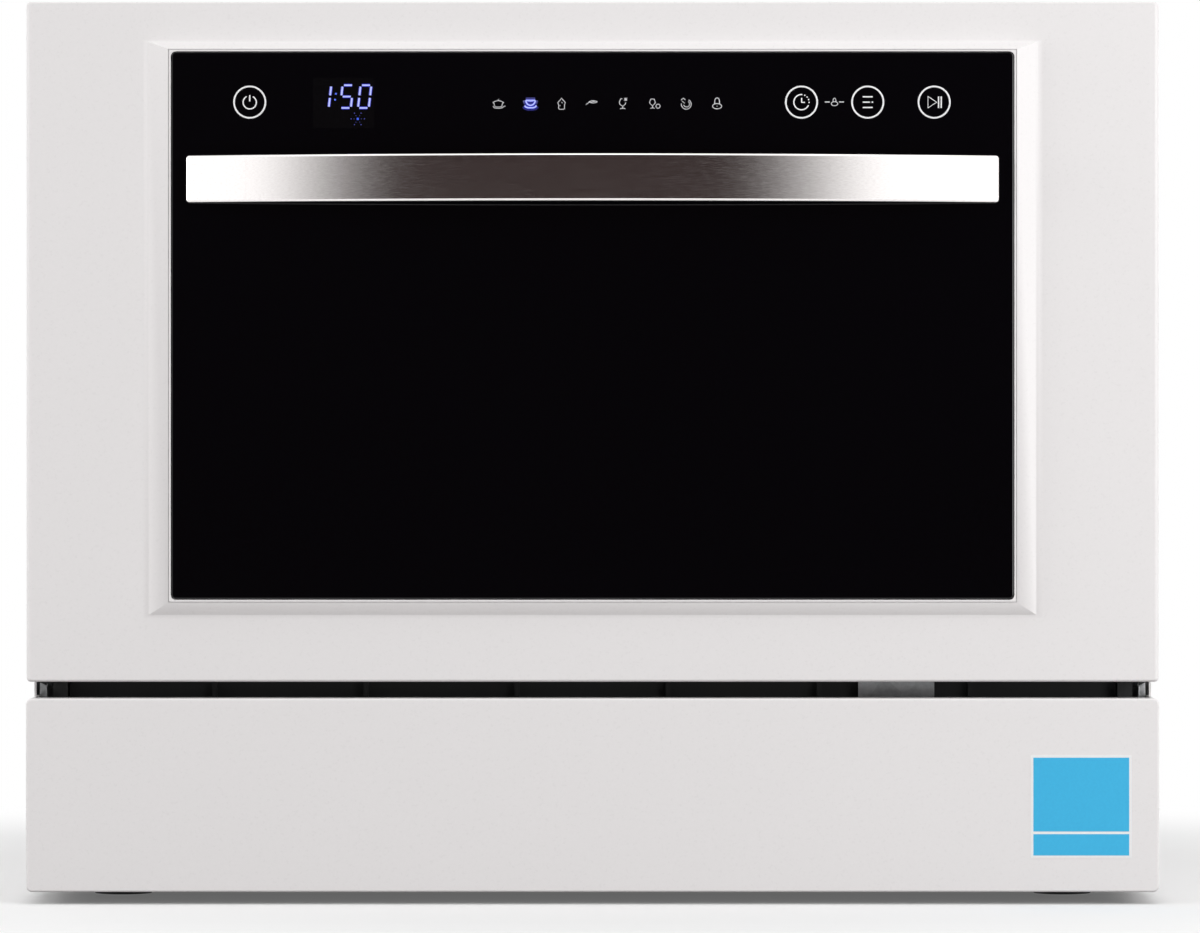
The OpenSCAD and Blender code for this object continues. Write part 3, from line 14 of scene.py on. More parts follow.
import bmesh
import bpy
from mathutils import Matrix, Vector


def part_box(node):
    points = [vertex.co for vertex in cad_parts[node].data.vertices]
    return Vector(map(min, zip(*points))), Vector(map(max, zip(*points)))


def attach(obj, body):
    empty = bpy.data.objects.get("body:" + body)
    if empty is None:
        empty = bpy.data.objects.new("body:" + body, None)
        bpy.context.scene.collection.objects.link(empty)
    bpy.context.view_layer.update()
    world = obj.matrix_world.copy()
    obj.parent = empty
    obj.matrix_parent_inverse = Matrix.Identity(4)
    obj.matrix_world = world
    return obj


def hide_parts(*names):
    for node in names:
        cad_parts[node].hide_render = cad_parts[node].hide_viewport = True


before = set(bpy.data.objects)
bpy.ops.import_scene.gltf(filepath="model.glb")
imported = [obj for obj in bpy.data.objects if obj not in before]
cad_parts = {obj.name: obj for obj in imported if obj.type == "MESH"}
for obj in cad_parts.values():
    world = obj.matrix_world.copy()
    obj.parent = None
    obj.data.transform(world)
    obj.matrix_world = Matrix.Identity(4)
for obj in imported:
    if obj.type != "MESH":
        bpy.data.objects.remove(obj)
LOG = logging.getLogger("dishwasher")
MM = 0.001
Colour = tuple[float, float, float]
Point = tuple[float, float]
Rectangle = tuple[float, float, float]
Piece = bpy.types.Object
Tree = bpy.types.NodeTree
Node = bpy.types.Node
Mesh = bmesh.types.BMesh
# Two places closer than this are the same place
NEAR = 0.02 * MM
# The signs of X on the left and on the right of the door's middle
SIDES = (-1, 1)
# Where the handle's posts stand
POST_X = 182.5 * MM
POST_Z = 353.2 * MM
# The door's middle in the photo, in pixels, and the photo's pixels per metre
PHOTO_MIDDLE = 592.75
PHOTO_SCALE = 2061


class Axis(Enum):
    """The axis along which an edge or a disc lies."""

    X = 0
    Y = 1
    Z = 2


# Modelling helpers


def clear_selection() -> None:
    """Leaves edit mode and deselects every object."""
    if bpy.context.object and bpy.context.object.mode != "OBJECT":
        bpy.ops.object.mode_set(mode="OBJECT")
    bpy.ops.object.select_all(action="DESELECT")


def activate(piece: Piece) -> None:
    """Selects one object alone and makes it the active one."""
    clear_selection()
    piece.select_set(True)
    bpy.context.view_layer.objects.active = piece


def apply_place(piece: Piece) -> Piece:
    """Moves a piece's place, turn and size into its mesh."""
    activate(piece)
    bpy.ops.object.transform_apply(location=True, rotation=True, scale=True)
    return piece


def add_box(name: str, low: Sequence[float], high: Sequence[float]) -> Piece:
    """Adds a cube between two corners.

    Args:
        name: The piece's name.
        low: The lowest corner, in metres.
        high: The highest corner, in metres.

    Returns:
        The new object, with its place in its mesh.
    """
    clear_selection()
    middle = [(a + b) / 2 for a, b in zip(low, high)]
    size = [b - a for a, b in zip(low, high)]
    bpy.ops.mesh.primitive_cube_add(size=1, location=middle, scale=size)
    piece = bpy.context.object
    piece.name = name
    return apply_place(piece)


def add_disc(
    name: str, centre: Sequence[float], radius: float, length: float, axis: Axis, sides: int
) -> Piece:
    """Adds a cylinder along one axis.

    Args:
        name: The piece's name.
        centre: Its middle, in metres.
        radius: Its radius, in metres.
        length: Its length along the axis, in metres.
        axis: The axis that it lies along.
        sides: The number of sides.

    Returns:
        The new object, with its place in its mesh.
    """
    clear_selection()
    turn = {Axis.X: (0, math.pi / 2, 0), Axis.Y: (math.pi / 2, 0, 0), Axis.Z: (0, 0, 0)}[axis]
    bpy.ops.mesh.primitive_cylinder_add(
        vertices=sides, radius=radius, depth=length, location=centre, rotation=turn
    )
    piece = bpy.context.object
    piece.name = name
    return apply_place(piece)


@contextmanager
def editing(piece: Piece, kind: str = "FACE") -> Iterator[Mesh]:
    """Opens a piece in edit mode with nothing selected.

    Args:
        piece: The object to edit.
        kind: What is selected: VERT, EDGE or FACE.

    Yields:
        The edit mesh, to select on by place or normal.
    """
    activate(piece)
    bpy.ops.object.mode_set(mode="EDIT")
    bpy.ops.mesh.select_mode(type=kind)
    bpy.ops.mesh.select_all(action="DESELECT")
    yield bmesh.from_edit_mesh(piece.data)
    bpy.ops.object.mode_set(mode="OBJECT")


def select_parts(piece: Piece, parts: Iterable, test: Callable) -> int:
    """Selects the faces or edges of an edit mesh that pass a test.

    Args:
        piece: The object in edit mode.
        parts: Its faces or edges.
        test: What a face or an edge has to pass.

    Returns:
        The number of those selected.
    """
    count = 0
    for part in parts:
        chosen = test(part)
        part.select_set(chosen)
        count += chosen
    bmesh.from_edit_mesh(piece.data).select_flush_mode()
    bmesh.update_edit_mesh(piece.data)
    return count


def select_faces(piece: Piece, mesh: Mesh, test: Callable) -> None:
    """Selects the faces that pass a test of their middle and normal."""
    select_parts(piece, mesh.faces, lambda face: test(face.calc_center_median(), face.normal))


def select_edges(piece: Piece, mesh: Mesh, test: Callable) -> int:
    """Selects the edges whose two ends pass a test, and counts them."""
    return select_parts(piece, mesh.edges, lambda edge: test(edge.verts[0].co, edge.verts[1].co))


def select_vertices(piece: Piece, numbers: Iterable[int]) -> None:
    """Selects the vertices with the given numbers and nothing else."""
    bpy.ops.mesh.select_all(action="DESELECT")
    mesh = bmesh.from_edit_mesh(piece.data)
    mesh.verts.ensure_lookup_table()
    for number in numbers:
        mesh.verts[number].select_set(True)
    mesh.select_flush_mode()
    bmesh.update_edit_mesh(piece.data)


def delete_faces(piece: Piece, test: Callable) -> None:
    """Deletes the faces that pass a test of their middle and normal."""
    with editing(piece) as mesh:
        select_faces(piece, mesh, test)
        bpy.ops.mesh.delete(type="FACE")


def bevel_edges(piece: Piece, test: Callable, width: float, segments: int) -> None:
    """Rounds the edges whose two ends pass a test."""
    with editing(piece, "EDGE") as mesh:
        if select_edges(piece, mesh, test):
            bpy.ops.mesh.bevel(offset=width, segments=segments, affect="EDGES", clamp_overlap=False)


def along(axis: Axis) -> Callable:
    """A test that passes edges lying along one axis."""

    def test(a: Vector, b: Vector) -> bool:
        step = b - a
        return abs(step[axis.value]) > 0.999 * step.length

    return test


def ahead_of(y: float) -> Callable:
    """A test that passes edges lying ahead of a depth."""
    return lambda a, b: max(a.y, b.y) < y


def near(value: float, goal: float) -> bool:
    """Whether two lengths are the same but for rounding."""
    return abs(value - goal) < NEAR


def apply_modifier(piece: Piece, kind: str, **settings: object) -> None:
    """Adds a modifier with its settings and applies it."""
    activate(piece)
    bpy.ops.object.modifier_add(type=kind)
    modifier = piece.modifiers[-1]
    for key, value in settings.items():
        setattr(modifier, key, value)
    bpy.ops.object.modifier_apply(modifier=modifier.name)


def cut(piece: Piece, cutters: Sequence[Piece]) -> None:
    """Takes the cutters' shapes away from a piece, and removes the cutters."""
    for cutter in cutters:
        apply_modifier(piece, "BOOLEAN", object=cutter, operation="DIFFERENCE", solver="EXACT")
        bpy.data.objects.remove(cutter)


def join(name: str, pieces: Sequence[Piece]) -> Piece:
    """Makes one object of several."""
    activate(pieces[0])
    for piece in pieces[1:]:
        piece.select_set(True)
    if len(pieces) > 1:
        bpy.ops.object.join()
    pieces[0].name = name
    return pieces[0]


def smooth(piece: Piece, angle: float) -> None:
    """Smooths the shading where faces meet at less than an angle in degrees, with broad faces flat."""
    activate(piece)
    bpy.ops.object.shade_smooth_by_angle(angle=math.radians(angle))
    apply_modifier(piece, "WEIGHTED_NORMAL", keep_sharp=True, weight=60)


@dataclass(frozen=True)
class Stroke:
    """One printed line: its points and width in millimetres."""

    points: tuple[Point, ...]
    width: float
    closed: bool = False


def line(width: float, *points: Point) -> Stroke:
    """An open line through points, all in millimetres."""
    return Stroke(points, width)


def loop(width: float, *points: Point) -> Stroke:
    """A closed line through points, all in millimetres."""
    return Stroke(points, width, True)


def dot(u: float, v: float, size: float) -> Stroke:
    """A round-looking dot of the given size in millimetres."""
    return line(size, (u - 0.4 * size, v), (u + 0.4 * size, v))


def arc(
    centre: Point, radius: float, start: float, end: float, count: int, squash: float = 1
) -> tuple[Point, ...]:
    """Points on an arc.

    Args:
        centre: The arc's centre.
        radius: Its radius.
        start: The first angle, in degrees.
        end: The last angle, in degrees.
        count: The number of points.
        squash: The height over the width.

    Returns:
        The points from start to end.
    """
    angles = [math.radians(start + (end - start) * k / (count - 1)) for k in range(count)]
    u, v = centre
    return tuple((u + radius * math.cos(a), v + squash * radius * math.sin(a)) for a in angles)


def add_line(name: str, strokes: Sequence[Stroke], raised: float) -> Piece:
    """Draws strokes in the XZ plane as flat, round-ended lines of print.

    Args:
        name: The piece's name.
        strokes: The strokes, in millimetres from the piece's middle.
        raised: The height of the print, in metres.

    Returns:
        The print as a mesh round the origin, lying along X and Z.
    """
    made = []
    for stroke in strokes:
        clear_selection()
        bpy.ops.curve.primitive_nurbs_path_add(location=(0, 0, 0))
        path = bpy.context.object
        path.data.splines.clear()
        spline = path.data.splines.new("POLY")
        spline.points.add(len(stroke.points) - 1)
        for place, (u, v) in zip(spline.points, stroke.points):
            place.co = (u * MM, 0, v * MM, 1)
        spline.use_cyclic_u = stroke.closed
        path.data.dimensions = "3D"
        path.data.bevel_depth = stroke.width * MM / 2
        path.data.bevel_resolution = 1
        path.data.use_fill_caps = not stroke.closed
        bpy.ops.object.convert(target="MESH")
        piece = bpy.context.object
        with editing(piece):
            bpy.ops.mesh.select_all(action="SELECT")
            bpy.ops.transform.resize(value=(1, raised / (stroke.width * MM), 1), center_override=(0, 0, 0))
        made.append(piece)
    return join(name, made)


# Shader nodes


def add_node(
    tree: Tree, kind: str, inputs: dict[str | int, object] | None = None, **settings: object
) -> Node:
    """Adds a shader node.

    Args:
        tree: The tree that it goes into.
        kind: Its type, without the leading ShaderNode.
        inputs: Values of its inputs, by name or number.
        settings: Values of its own settings.

    Returns:
        The node.
    """
    node = tree.nodes.new("ShaderNode" + kind)
    for key, value in settings.items():
        setattr(node, key, value)
    for key, value in (inputs or {}).items():
        node.inputs[key].default_value = value
    return node


def wire(tree: Tree, *links: tuple[Node, str | int, Node, str | int]) -> None:
    """Links nodes; each link is a node, its output, the next node and its input."""
    for source, output, target, entry in links:
        tree.links.new(source.outputs[output], target.inputs[entry])


def mix_shaders(tree: Tree, factor: tuple[Node, str | int], first: Node, second: Node) -> Node:
    """Mixes two shaders.

    Args:
        tree: The tree that they are in.
        factor: The node and its output that say how much of the second shows.
        first: The shader that shows at 0.
        second: The shader that shows at 1.

    Returns:
        The mixing node.
    """
    node = add_node(tree, "MixShader")
    wire(tree, (*factor, node, 0), (first, 0, node, 1), (second, 0, node, 2))
    return node


def new_group(name: str, inputs: dict[str, tuple], outputs: dict[str, str]) -> Tree:
    """Makes an empty shader node group with named sockets.

    Args:
        name: The group's name.
        inputs: Socket kinds and defaults by name.
        outputs: Socket kinds by name.

    Returns:
        The group, with its input and output nodes.
    """
    tree = bpy.data.node_groups.new(name, "ShaderNodeTree")
    for label, (kind, default) in inputs.items():
        socket = tree.interface.new_socket(label, in_out="INPUT", socket_type="NodeSocket" + kind)
        socket.default_value = default
    for label, kind in outputs.items():
        tree.interface.new_socket(label, in_out="OUTPUT", socket_type="NodeSocket" + kind)
    tree.nodes.new("NodeGroupInput")
    tree.nodes.new("NodeGroupOutput")
    return tree


def grain_group() -> Tree:
    """Fine grain: mixes two colours and two roughness values by noise, and gives its height."""
    ready = bpy.data.node_groups.get("surface_grain")
    if ready:
        return ready
    grey = ("Color", (0.5, 0.5, 0.5, 1))
    tree = new_group(
        "surface_grain",
        {
            "Vector": ("Vector", (0, 0, 0)), "Scale": ("Float", 400.0), "Detail": ("Float", 4.0),
            "Colour A": grey, "Colour B": grey, "Rough low": ("Float", 0.3), "Rough high": ("Float", 0.4),
        },
        {"Colour": "Color", "Roughness": "Float", "Height": "Float"},
    )
    ins, outs = tree.nodes["Group Input"], tree.nodes["Group Output"]
    noise = add_node(tree, "TexNoise")
    spread = add_node(tree, "MapRange", {"From Min": 0.3, "From Max": 0.7})
    tint = add_node(tree, "Mix", data_type="RGBA")
    rough = add_node(tree, "MapRange")
    wire(
        tree,
        (ins, "Vector", noise, "Vector"), (ins, "Scale", noise, "Scale"), (ins, "Detail", noise, "Detail"),
        (noise, "Fac", spread, "Value"), (spread, "Result", tint, "Factor"), (ins, "Colour A", tint, "A"),
        (ins, "Colour B", tint, "B"), (spread, "Result", rough, "Value"), (ins, "Rough low", rough, "To Min"),
        (ins, "Rough high", rough, "To Max"), (tint, "Result", outs, "Colour"),
        (rough, "Result", outs, "Roughness"), (noise, "Fac", outs, "Height"),
    )
    return tree


def cloud_group() -> Tree:
    """Broad, faint unevenness: darkens a colour in slow patches."""
    ready = bpy.data.node_groups.get("slow_patches")
    if ready:
        return ready
    tree = new_group(
        "slow_patches",
        {
            "Vector": ("Vector", (0, 0, 0)), "Scale": ("Float", 6.0), "Amount": ("Float", 0.05),
            "Colour": ("Color", (0.5, 0.5, 0.5, 1)),
        },
        {"Colour": "Color"},
    )
    ins, outs = tree.nodes["Group Input"], tree.nodes["Group Output"]
    noise = add_node(tree, "TexNoise", {"Detail": 2.0})
    lower = add_node(tree, "Math", operation="MULTIPLY")
    rest = add_node(tree, "Math", {0: 1.0}, operation="SUBTRACT")
    shade = add_node(tree, "VectorMath", operation="SCALE")
    wire(
        tree,
        (ins, "Vector", noise, "Vector"), (ins, "Scale", noise, "Scale"), (noise, "Fac", lower, 0),
        (ins, "Amount", lower, 1), (lower, 0, rest, 1), (ins, "Colour", shade, 0), (rest, 0, shade, "Scale"),
        (shade, 0, outs, "Colour"),
    )
    return tree


# Finishes


@dataclass(frozen=True)
class Finish:
    """A surface with grain, slow patches and bump.

    Colours are linear. stretch scales the pattern along X, Y and Z, so that a small number draws
    it out along that axis.
    """

    name: str
    colour: Colour
    second: Colour
    rough: tuple[float, float]
    metallic: float = 0.0
    scale: float = 400.0
    detail: float = 4.0
    stretch: tuple[float, float, float] = (1, 1, 1)
    bump: float = 0.1
    depth: float = 0.00005
    patches: float = 0.04
    coat: float = 0.0
    coat_rough: float = 0.12
    specular: float = 0.5
    anisotropic: float = 0.0
    grain_turn: float = 0.0

    def build(self) -> bpy.types.Material:
        """Makes the material once and returns it."""
        ready = bpy.data.materials.get(self.name)
        if ready:
            return ready
        material = bpy.data.materials.new(self.name)
        material.use_nodes = True
        tree = material.node_tree
        shader = tree.nodes["Principled BSDF"]
        for label, value in (
            ("Metallic", self.metallic), ("Coat Weight", self.coat), ("Coat Roughness", self.coat_rough),
            ("Specular IOR Level", self.specular), ("Anisotropic", self.anisotropic),
            ("Anisotropic Rotation", self.grain_turn),
        ):
            shader.inputs[label].default_value = value
        place = add_node(tree, "TexCoord")
        mapping = add_node(tree, "Mapping", {"Scale": self.stretch})
        grain = add_node(
            tree, "Group",
            {
                "Scale": self.scale, "Detail": self.detail, "Colour A": (*self.colour, 1),
                "Colour B": (*self.second, 1), "Rough low": self.rough[0], "Rough high": self.rough[1],
            },
            node_tree=grain_group(),
        )
        patches = add_node(tree, "Group", {"Amount": self.patches}, node_tree=cloud_group())
        bump = add_node(tree, "Bump", {"Strength": self.bump, "Distance": self.depth})
        wire(
            tree,
            (place, "Object", mapping, "Vector"), (mapping, "Vector", grain, "Vector"),
            (place, "Object", patches, "Vector"), (grain, "Colour", patches, "Colour"),
            (patches, "Colour", shader, "Base Color"), (grain, "Roughness", shader, "Roughness"),
            (grain, "Height", bump, "Height"), (bump, "Normal", shader, "Normal"),
        )
        self.extend(tree, shader, place)
        return material

    def extend(self, tree: Tree, shader: Node, place: Node) -> None:
        """Adds what a special finish has beyond the common one."""


@dataclass(frozen=True)
class LitInk(Finish):
    """A lit mark: it glows in its own colour, a little unevenly."""

    glow: Colour = (1, 1, 1)
    strength: float = 1.0

    def extend(self, tree: Tree, shader: Node, place: Node) -> None:
        """Adds an uneven glow."""
        noise = add_node(tree, "TexNoise", {"Scale": self.scale})
        dim = [0.8 * value for value in self.glow]
        tint = add_node(tree, "Mix", {"A": (*dim, 1), "B": (*self.glow, 1)}, data_type="RGBA")
        wire(
            tree, (place, "Object", noise, "Vector"), (noise, "Fac", tint, "Factor"),
            (tint, "Result", shader, "Emission Color"),
        )
        shader.inputs["Emission Strength"].default_value = self.strength


@dataclass(frozen=True)
class Spangled(Finish):
    """Galvanised sheet with its pattern of crystals."""

    crystals: float = 90.0
    contrast: float = 0.3

    def extend(self, tree: Tree, shader: Node, place: Node) -> None:
        """Adds crystals of slightly different grey."""
        patches = shader.inputs["Base Color"].links[0].from_node
        cells = add_node(tree, "TexVoronoi", {"Scale": self.crystals})
        tint = add_node(tree, "Mix", {"Factor": self.contrast}, data_type="RGBA", blend_type="MULTIPLY")
        grey = add_node(tree, "RGBToBW")
        wire(
            tree, (place, "Object", cells, "Vector"), (cells, "Color", grey, "Color"),
            (patches, "Colour", tint, "A"), (grey, "Val", tint, "B"), (tint, "Result", shader, "Base Color"),
        )


def moulded(
    name: str, colour: Colour, second: Colour, rough: tuple[float, float], scale: float, bump: float
) -> Finish:
    """A moulded plastic or rubber, with a fine grain."""
    return Finish(name, colour, second, rough, scale=scale, bump=bump)


def brushed(name: str, stretch: tuple[float, float, float]) -> Finish:
    """Stainless sheet with its grain drawn out along one axis."""
    return Finish(
        name, (0.55, 0.55, 0.54), (0.64, 0.64, 0.63), (0.22, 0.36), metallic=1.0, scale=900, stretch=stretch,
        bump=0.15, depth=0.00002, patches=0.06, anisotropic=0.4,
    )


def metal(name: str, colour: Colour, second: Colour, rough: tuple[float, float], scale: float) -> Finish:
    """A plain metal surface."""
    return Finish(name, colour, second, rough, metallic=1.0, scale=scale)


def lit(name: str, ground: Colour, second: Colour, glow: Colour, strength: float = 1.0) -> LitInk:
    """A lit ink over a dark ground."""
    return LitInk(name, ground, second, (0.35, 0.45), scale=900, glow=glow, strength=strength)


WHITE_COAT = Finish(
    "white_powder_coat", (0.838, 0.818, 0.818), (0.850, 0.830, 0.830), (0.27, 0.31),
    scale=700, detail=2, bump=0.04, depth=0.00001, patches=0.015, specular=0.25,
)
BRUSHED_BAR = Finish(
    "brushed_handle_steel", (0.90, 0.86, 0.85), (1.0, 0.97, 0.96), (0.10, 0.15), metallic=1.0,
    scale=3400, stretch=(0.002, 1, 1), bump=0.05, depth=0.00001, patches=0.02, anisotropic=0.5,
    grain_turn=0.25,
)
BLACK_GLASS = Finish(
    "black_printed_glass", (0.0007, 0.0007, 0.0014), (0.0011, 0.0011, 0.0020), (0.03, 0.06),
    scale=700, bump=0.02, depth=0.00001, patches=0.2,
)
BLACK_MOULDED = moulded("black_moulding", (0.012, 0.012, 0.012), (0.02, 0.02, 0.021), (0.45, 0.6), 1500, 0.3)
GREY_MOULDED = moulded("grey_moulding", (0.17, 0.18, 0.20), (0.20, 0.21, 0.23), (0.38, 0.5), 1300, 0.2)
PALE_MOULDED = moulded("pale_moulding", (0.66, 0.66, 0.64), (0.71, 0.71, 0.69), (0.35, 0.45), 1300, 0.15)
MOTOR_MOULDED = moulded("motor_moulding", (0.03, 0.032, 0.035), (0.045, 0.047, 0.05), (0.4, 0.55), 1100, 0.3)
BLUE_MOULDED = moulded("blue_moulding", (0.02, 0.09, 0.30), (0.03, 0.11, 0.34), (0.3, 0.4), 1300, 0.15)
BASKET_MOULDED = moulded("basket_moulding", (0.24, 0.28, 0.36), (0.28, 0.32, 0.40), (0.38, 0.5), 1200, 0.2)
ROLLER_MOULDED = moulded("roller_moulding", (0.22, 0.23, 0.25), (0.26, 0.27, 0.29), (0.4, 0.5), 1300, 0.2)
SOFT_RUBBER = moulded("grey_rubber", (0.035, 0.036, 0.038), (0.05, 0.051, 0.053), (0.6, 0.75), 1200, 0.35)
TUB_STEEL = brushed("tub_steel", (1, 0.03, 1))
LINER_STEEL = brushed("liner_steel", (0.03, 1, 1))
SPRING_WIRE = metal("spring_wire", (0.30, 0.30, 0.30), (0.40, 0.40, 0.40), (0.25, 0.4), 700)
TINTED_TUBE = metal("heat_tinted_tube", (0.36, 0.33, 0.29), (0.46, 0.44, 0.42), (0.3, 0.45), 120)
SCREW_STEEL = metal("zinc_screws", (0.55, 0.55, 0.55), (0.65, 0.65, 0.64), (0.2, 0.35), 800)
GALVANISED = Spangled(
    "galvanised_sheet", (0.44, 0.45, 0.46), (0.54, 0.55, 0.56), (0.3, 0.45), metallic=1.0, scale=500
)
COATED_WIRE = Finish(
    "coated_wire", (0.36, 0.38, 0.40), (0.40, 0.42, 0.44), (0.25, 0.35), scale=900, bump=0.15, coat=0.3
)
SOLDER_RESIST = Finish(
    "solder_resist", (0.006, 0.06, 0.02), (0.01, 0.10, 0.035), (0.25, 0.35), scale=300, detail=1
)
WINDOW_FILM = Finish(
    "display_window_film", (0.0016, 0.0016, 0.0022), (0.0024, 0.0024, 0.0030), (0.05, 0.09),
    scale=700, bump=0.02,
)
SMOKED = Finish(
    "smoked_window", (0.004, 0.004, 0.006), (0.007, 0.007, 0.009), (0.1, 0.15), scale=500, bump=0.05
)
WHITE_INK = Finish("white_ink", (0.86, 0.86, 0.87), (0.93, 0.93, 0.94), (0.45, 0.55), scale=2500)
GREY_INK = Finish("pale_ink", (0.60, 0.60, 0.62), (0.68, 0.68, 0.70), (0.45, 0.55), scale=2500)
PAPER_WHITE = Finish("label_white", (0.88, 0.88, 0.88), (0.92, 0.92, 0.92), (0.3, 0.4), scale=900)
LABEL_BLUE = Finish(
    "label_blue", (0.045, 0.47, 0.80), (0.050, 0.50, 0.83), (0.3, 0.4), scale=900, patches=0.02
)
LIT_WHITE = lit("lit_segments", (0.02, 0.02, 0.05), (0.03, 0.03, 0.07), (0.46, 0.52, 1.0), 1.1)
LIT_BLUE = lit("lit_blue", (0.01, 0.01, 0.05), (0.02, 0.02, 0.07), (0.03, 0.12, 1.0), 0.9)
LIT_VIOLET = lit("lit_violet", (0.01, 0.01, 0.03), (0.02, 0.02, 0.05), (0.06, 0.06, 0.42), 0.9)
NEAR_HALO = lit("halo_1", (0, 0, 0.004), (0, 0, 0.006), (0.008, 0.012, 0.55))
FAR_HALO = lit("halo_2", (0, 0, 0.004), (0, 0, 0.006), (0.0, 0.001, 0.13))

FINISH_OF = {
    WHITE_COAT: ("cabinet_wrap",),
    BLACK_MOULDED: ("base_tray", "front_beam", "latch_body", "control_housing", "cord_gland", "float_switch"),
    GREY_MOULDED: (
        "sump", "spray_hub", "spray_arm", "filter_basket", "drain_spigot", "lid_catch", "detergent_lid",
    ),
    PALE_MOULDED: ("float", "air_break", "latch_pawl", "dispenser_body", "power_board", "roller_clips"),
    MOTOR_MOULDED: ("wash_pump", "drain_pump", "inlet_valve"),
    BLUE_MOULDED: ("rinse_cap",),
    BASKET_MOULDED: ("cutlery_basket", "basket_grip"),
    SOFT_RUBBER: ("feet", "door_seal", "inlet_hose", "drain_hose"),
    TUB_STEEL: ("tub", "filter_plate", "rack_rails"),
    LINER_STEEL: ("door_liner",),
    SPRING_WIRE: ("door_spring_left", "door_spring_right"),
    TINTED_TUBE: ("heater",),
    SCREW_STEEL: ("rear_screws", "handle_screws"),
    GALVANISED: (
        "rear_panel", "kick_bracket", "hinge_brackets", "hinge_arm_left", "hinge_arm_right", "latch_strike",
    ),
    COATED_WIRE: ("rack_wires", "rack_rims", "rack_tines", "rack_shelf_frame", "cup_shelf"),
    ROLLER_MOULDED: ("roller_front_left", "roller_front_right", "roller_rear_left", "roller_rear_right"),
    SOLDER_RESIST: ("control_board",),
    SMOKED: ("display_module",),
}


def paint(piece: Piece, finish: Finish) -> None:
    """Gives a piece one finish in place of its materials."""
    piece.data.materials.clear()
    piece.data.materials.append(finish.build())


def place_piece(
    piece: Piece, body: str, slot: str, finish: Finish, replaced: Sequence[str] = ()
) -> Piece:
    """Gives a finished piece its material and body.

    Args:
        piece: The object, with its place in its mesh.
        body: The CAD body that it rides on.
        slot: The record's material slot; not used.
        finish: Its finish.
        replaced: The CAD nodes that it stands for.

    Returns:
        The piece.
    """
    apply_place(piece)
    paint(piece, finish)
    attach(piece, body)
    if replaced:
        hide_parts(*replaced)
    LOG.info("%s rides on %s", piece.name, body)
    return piece


# Door


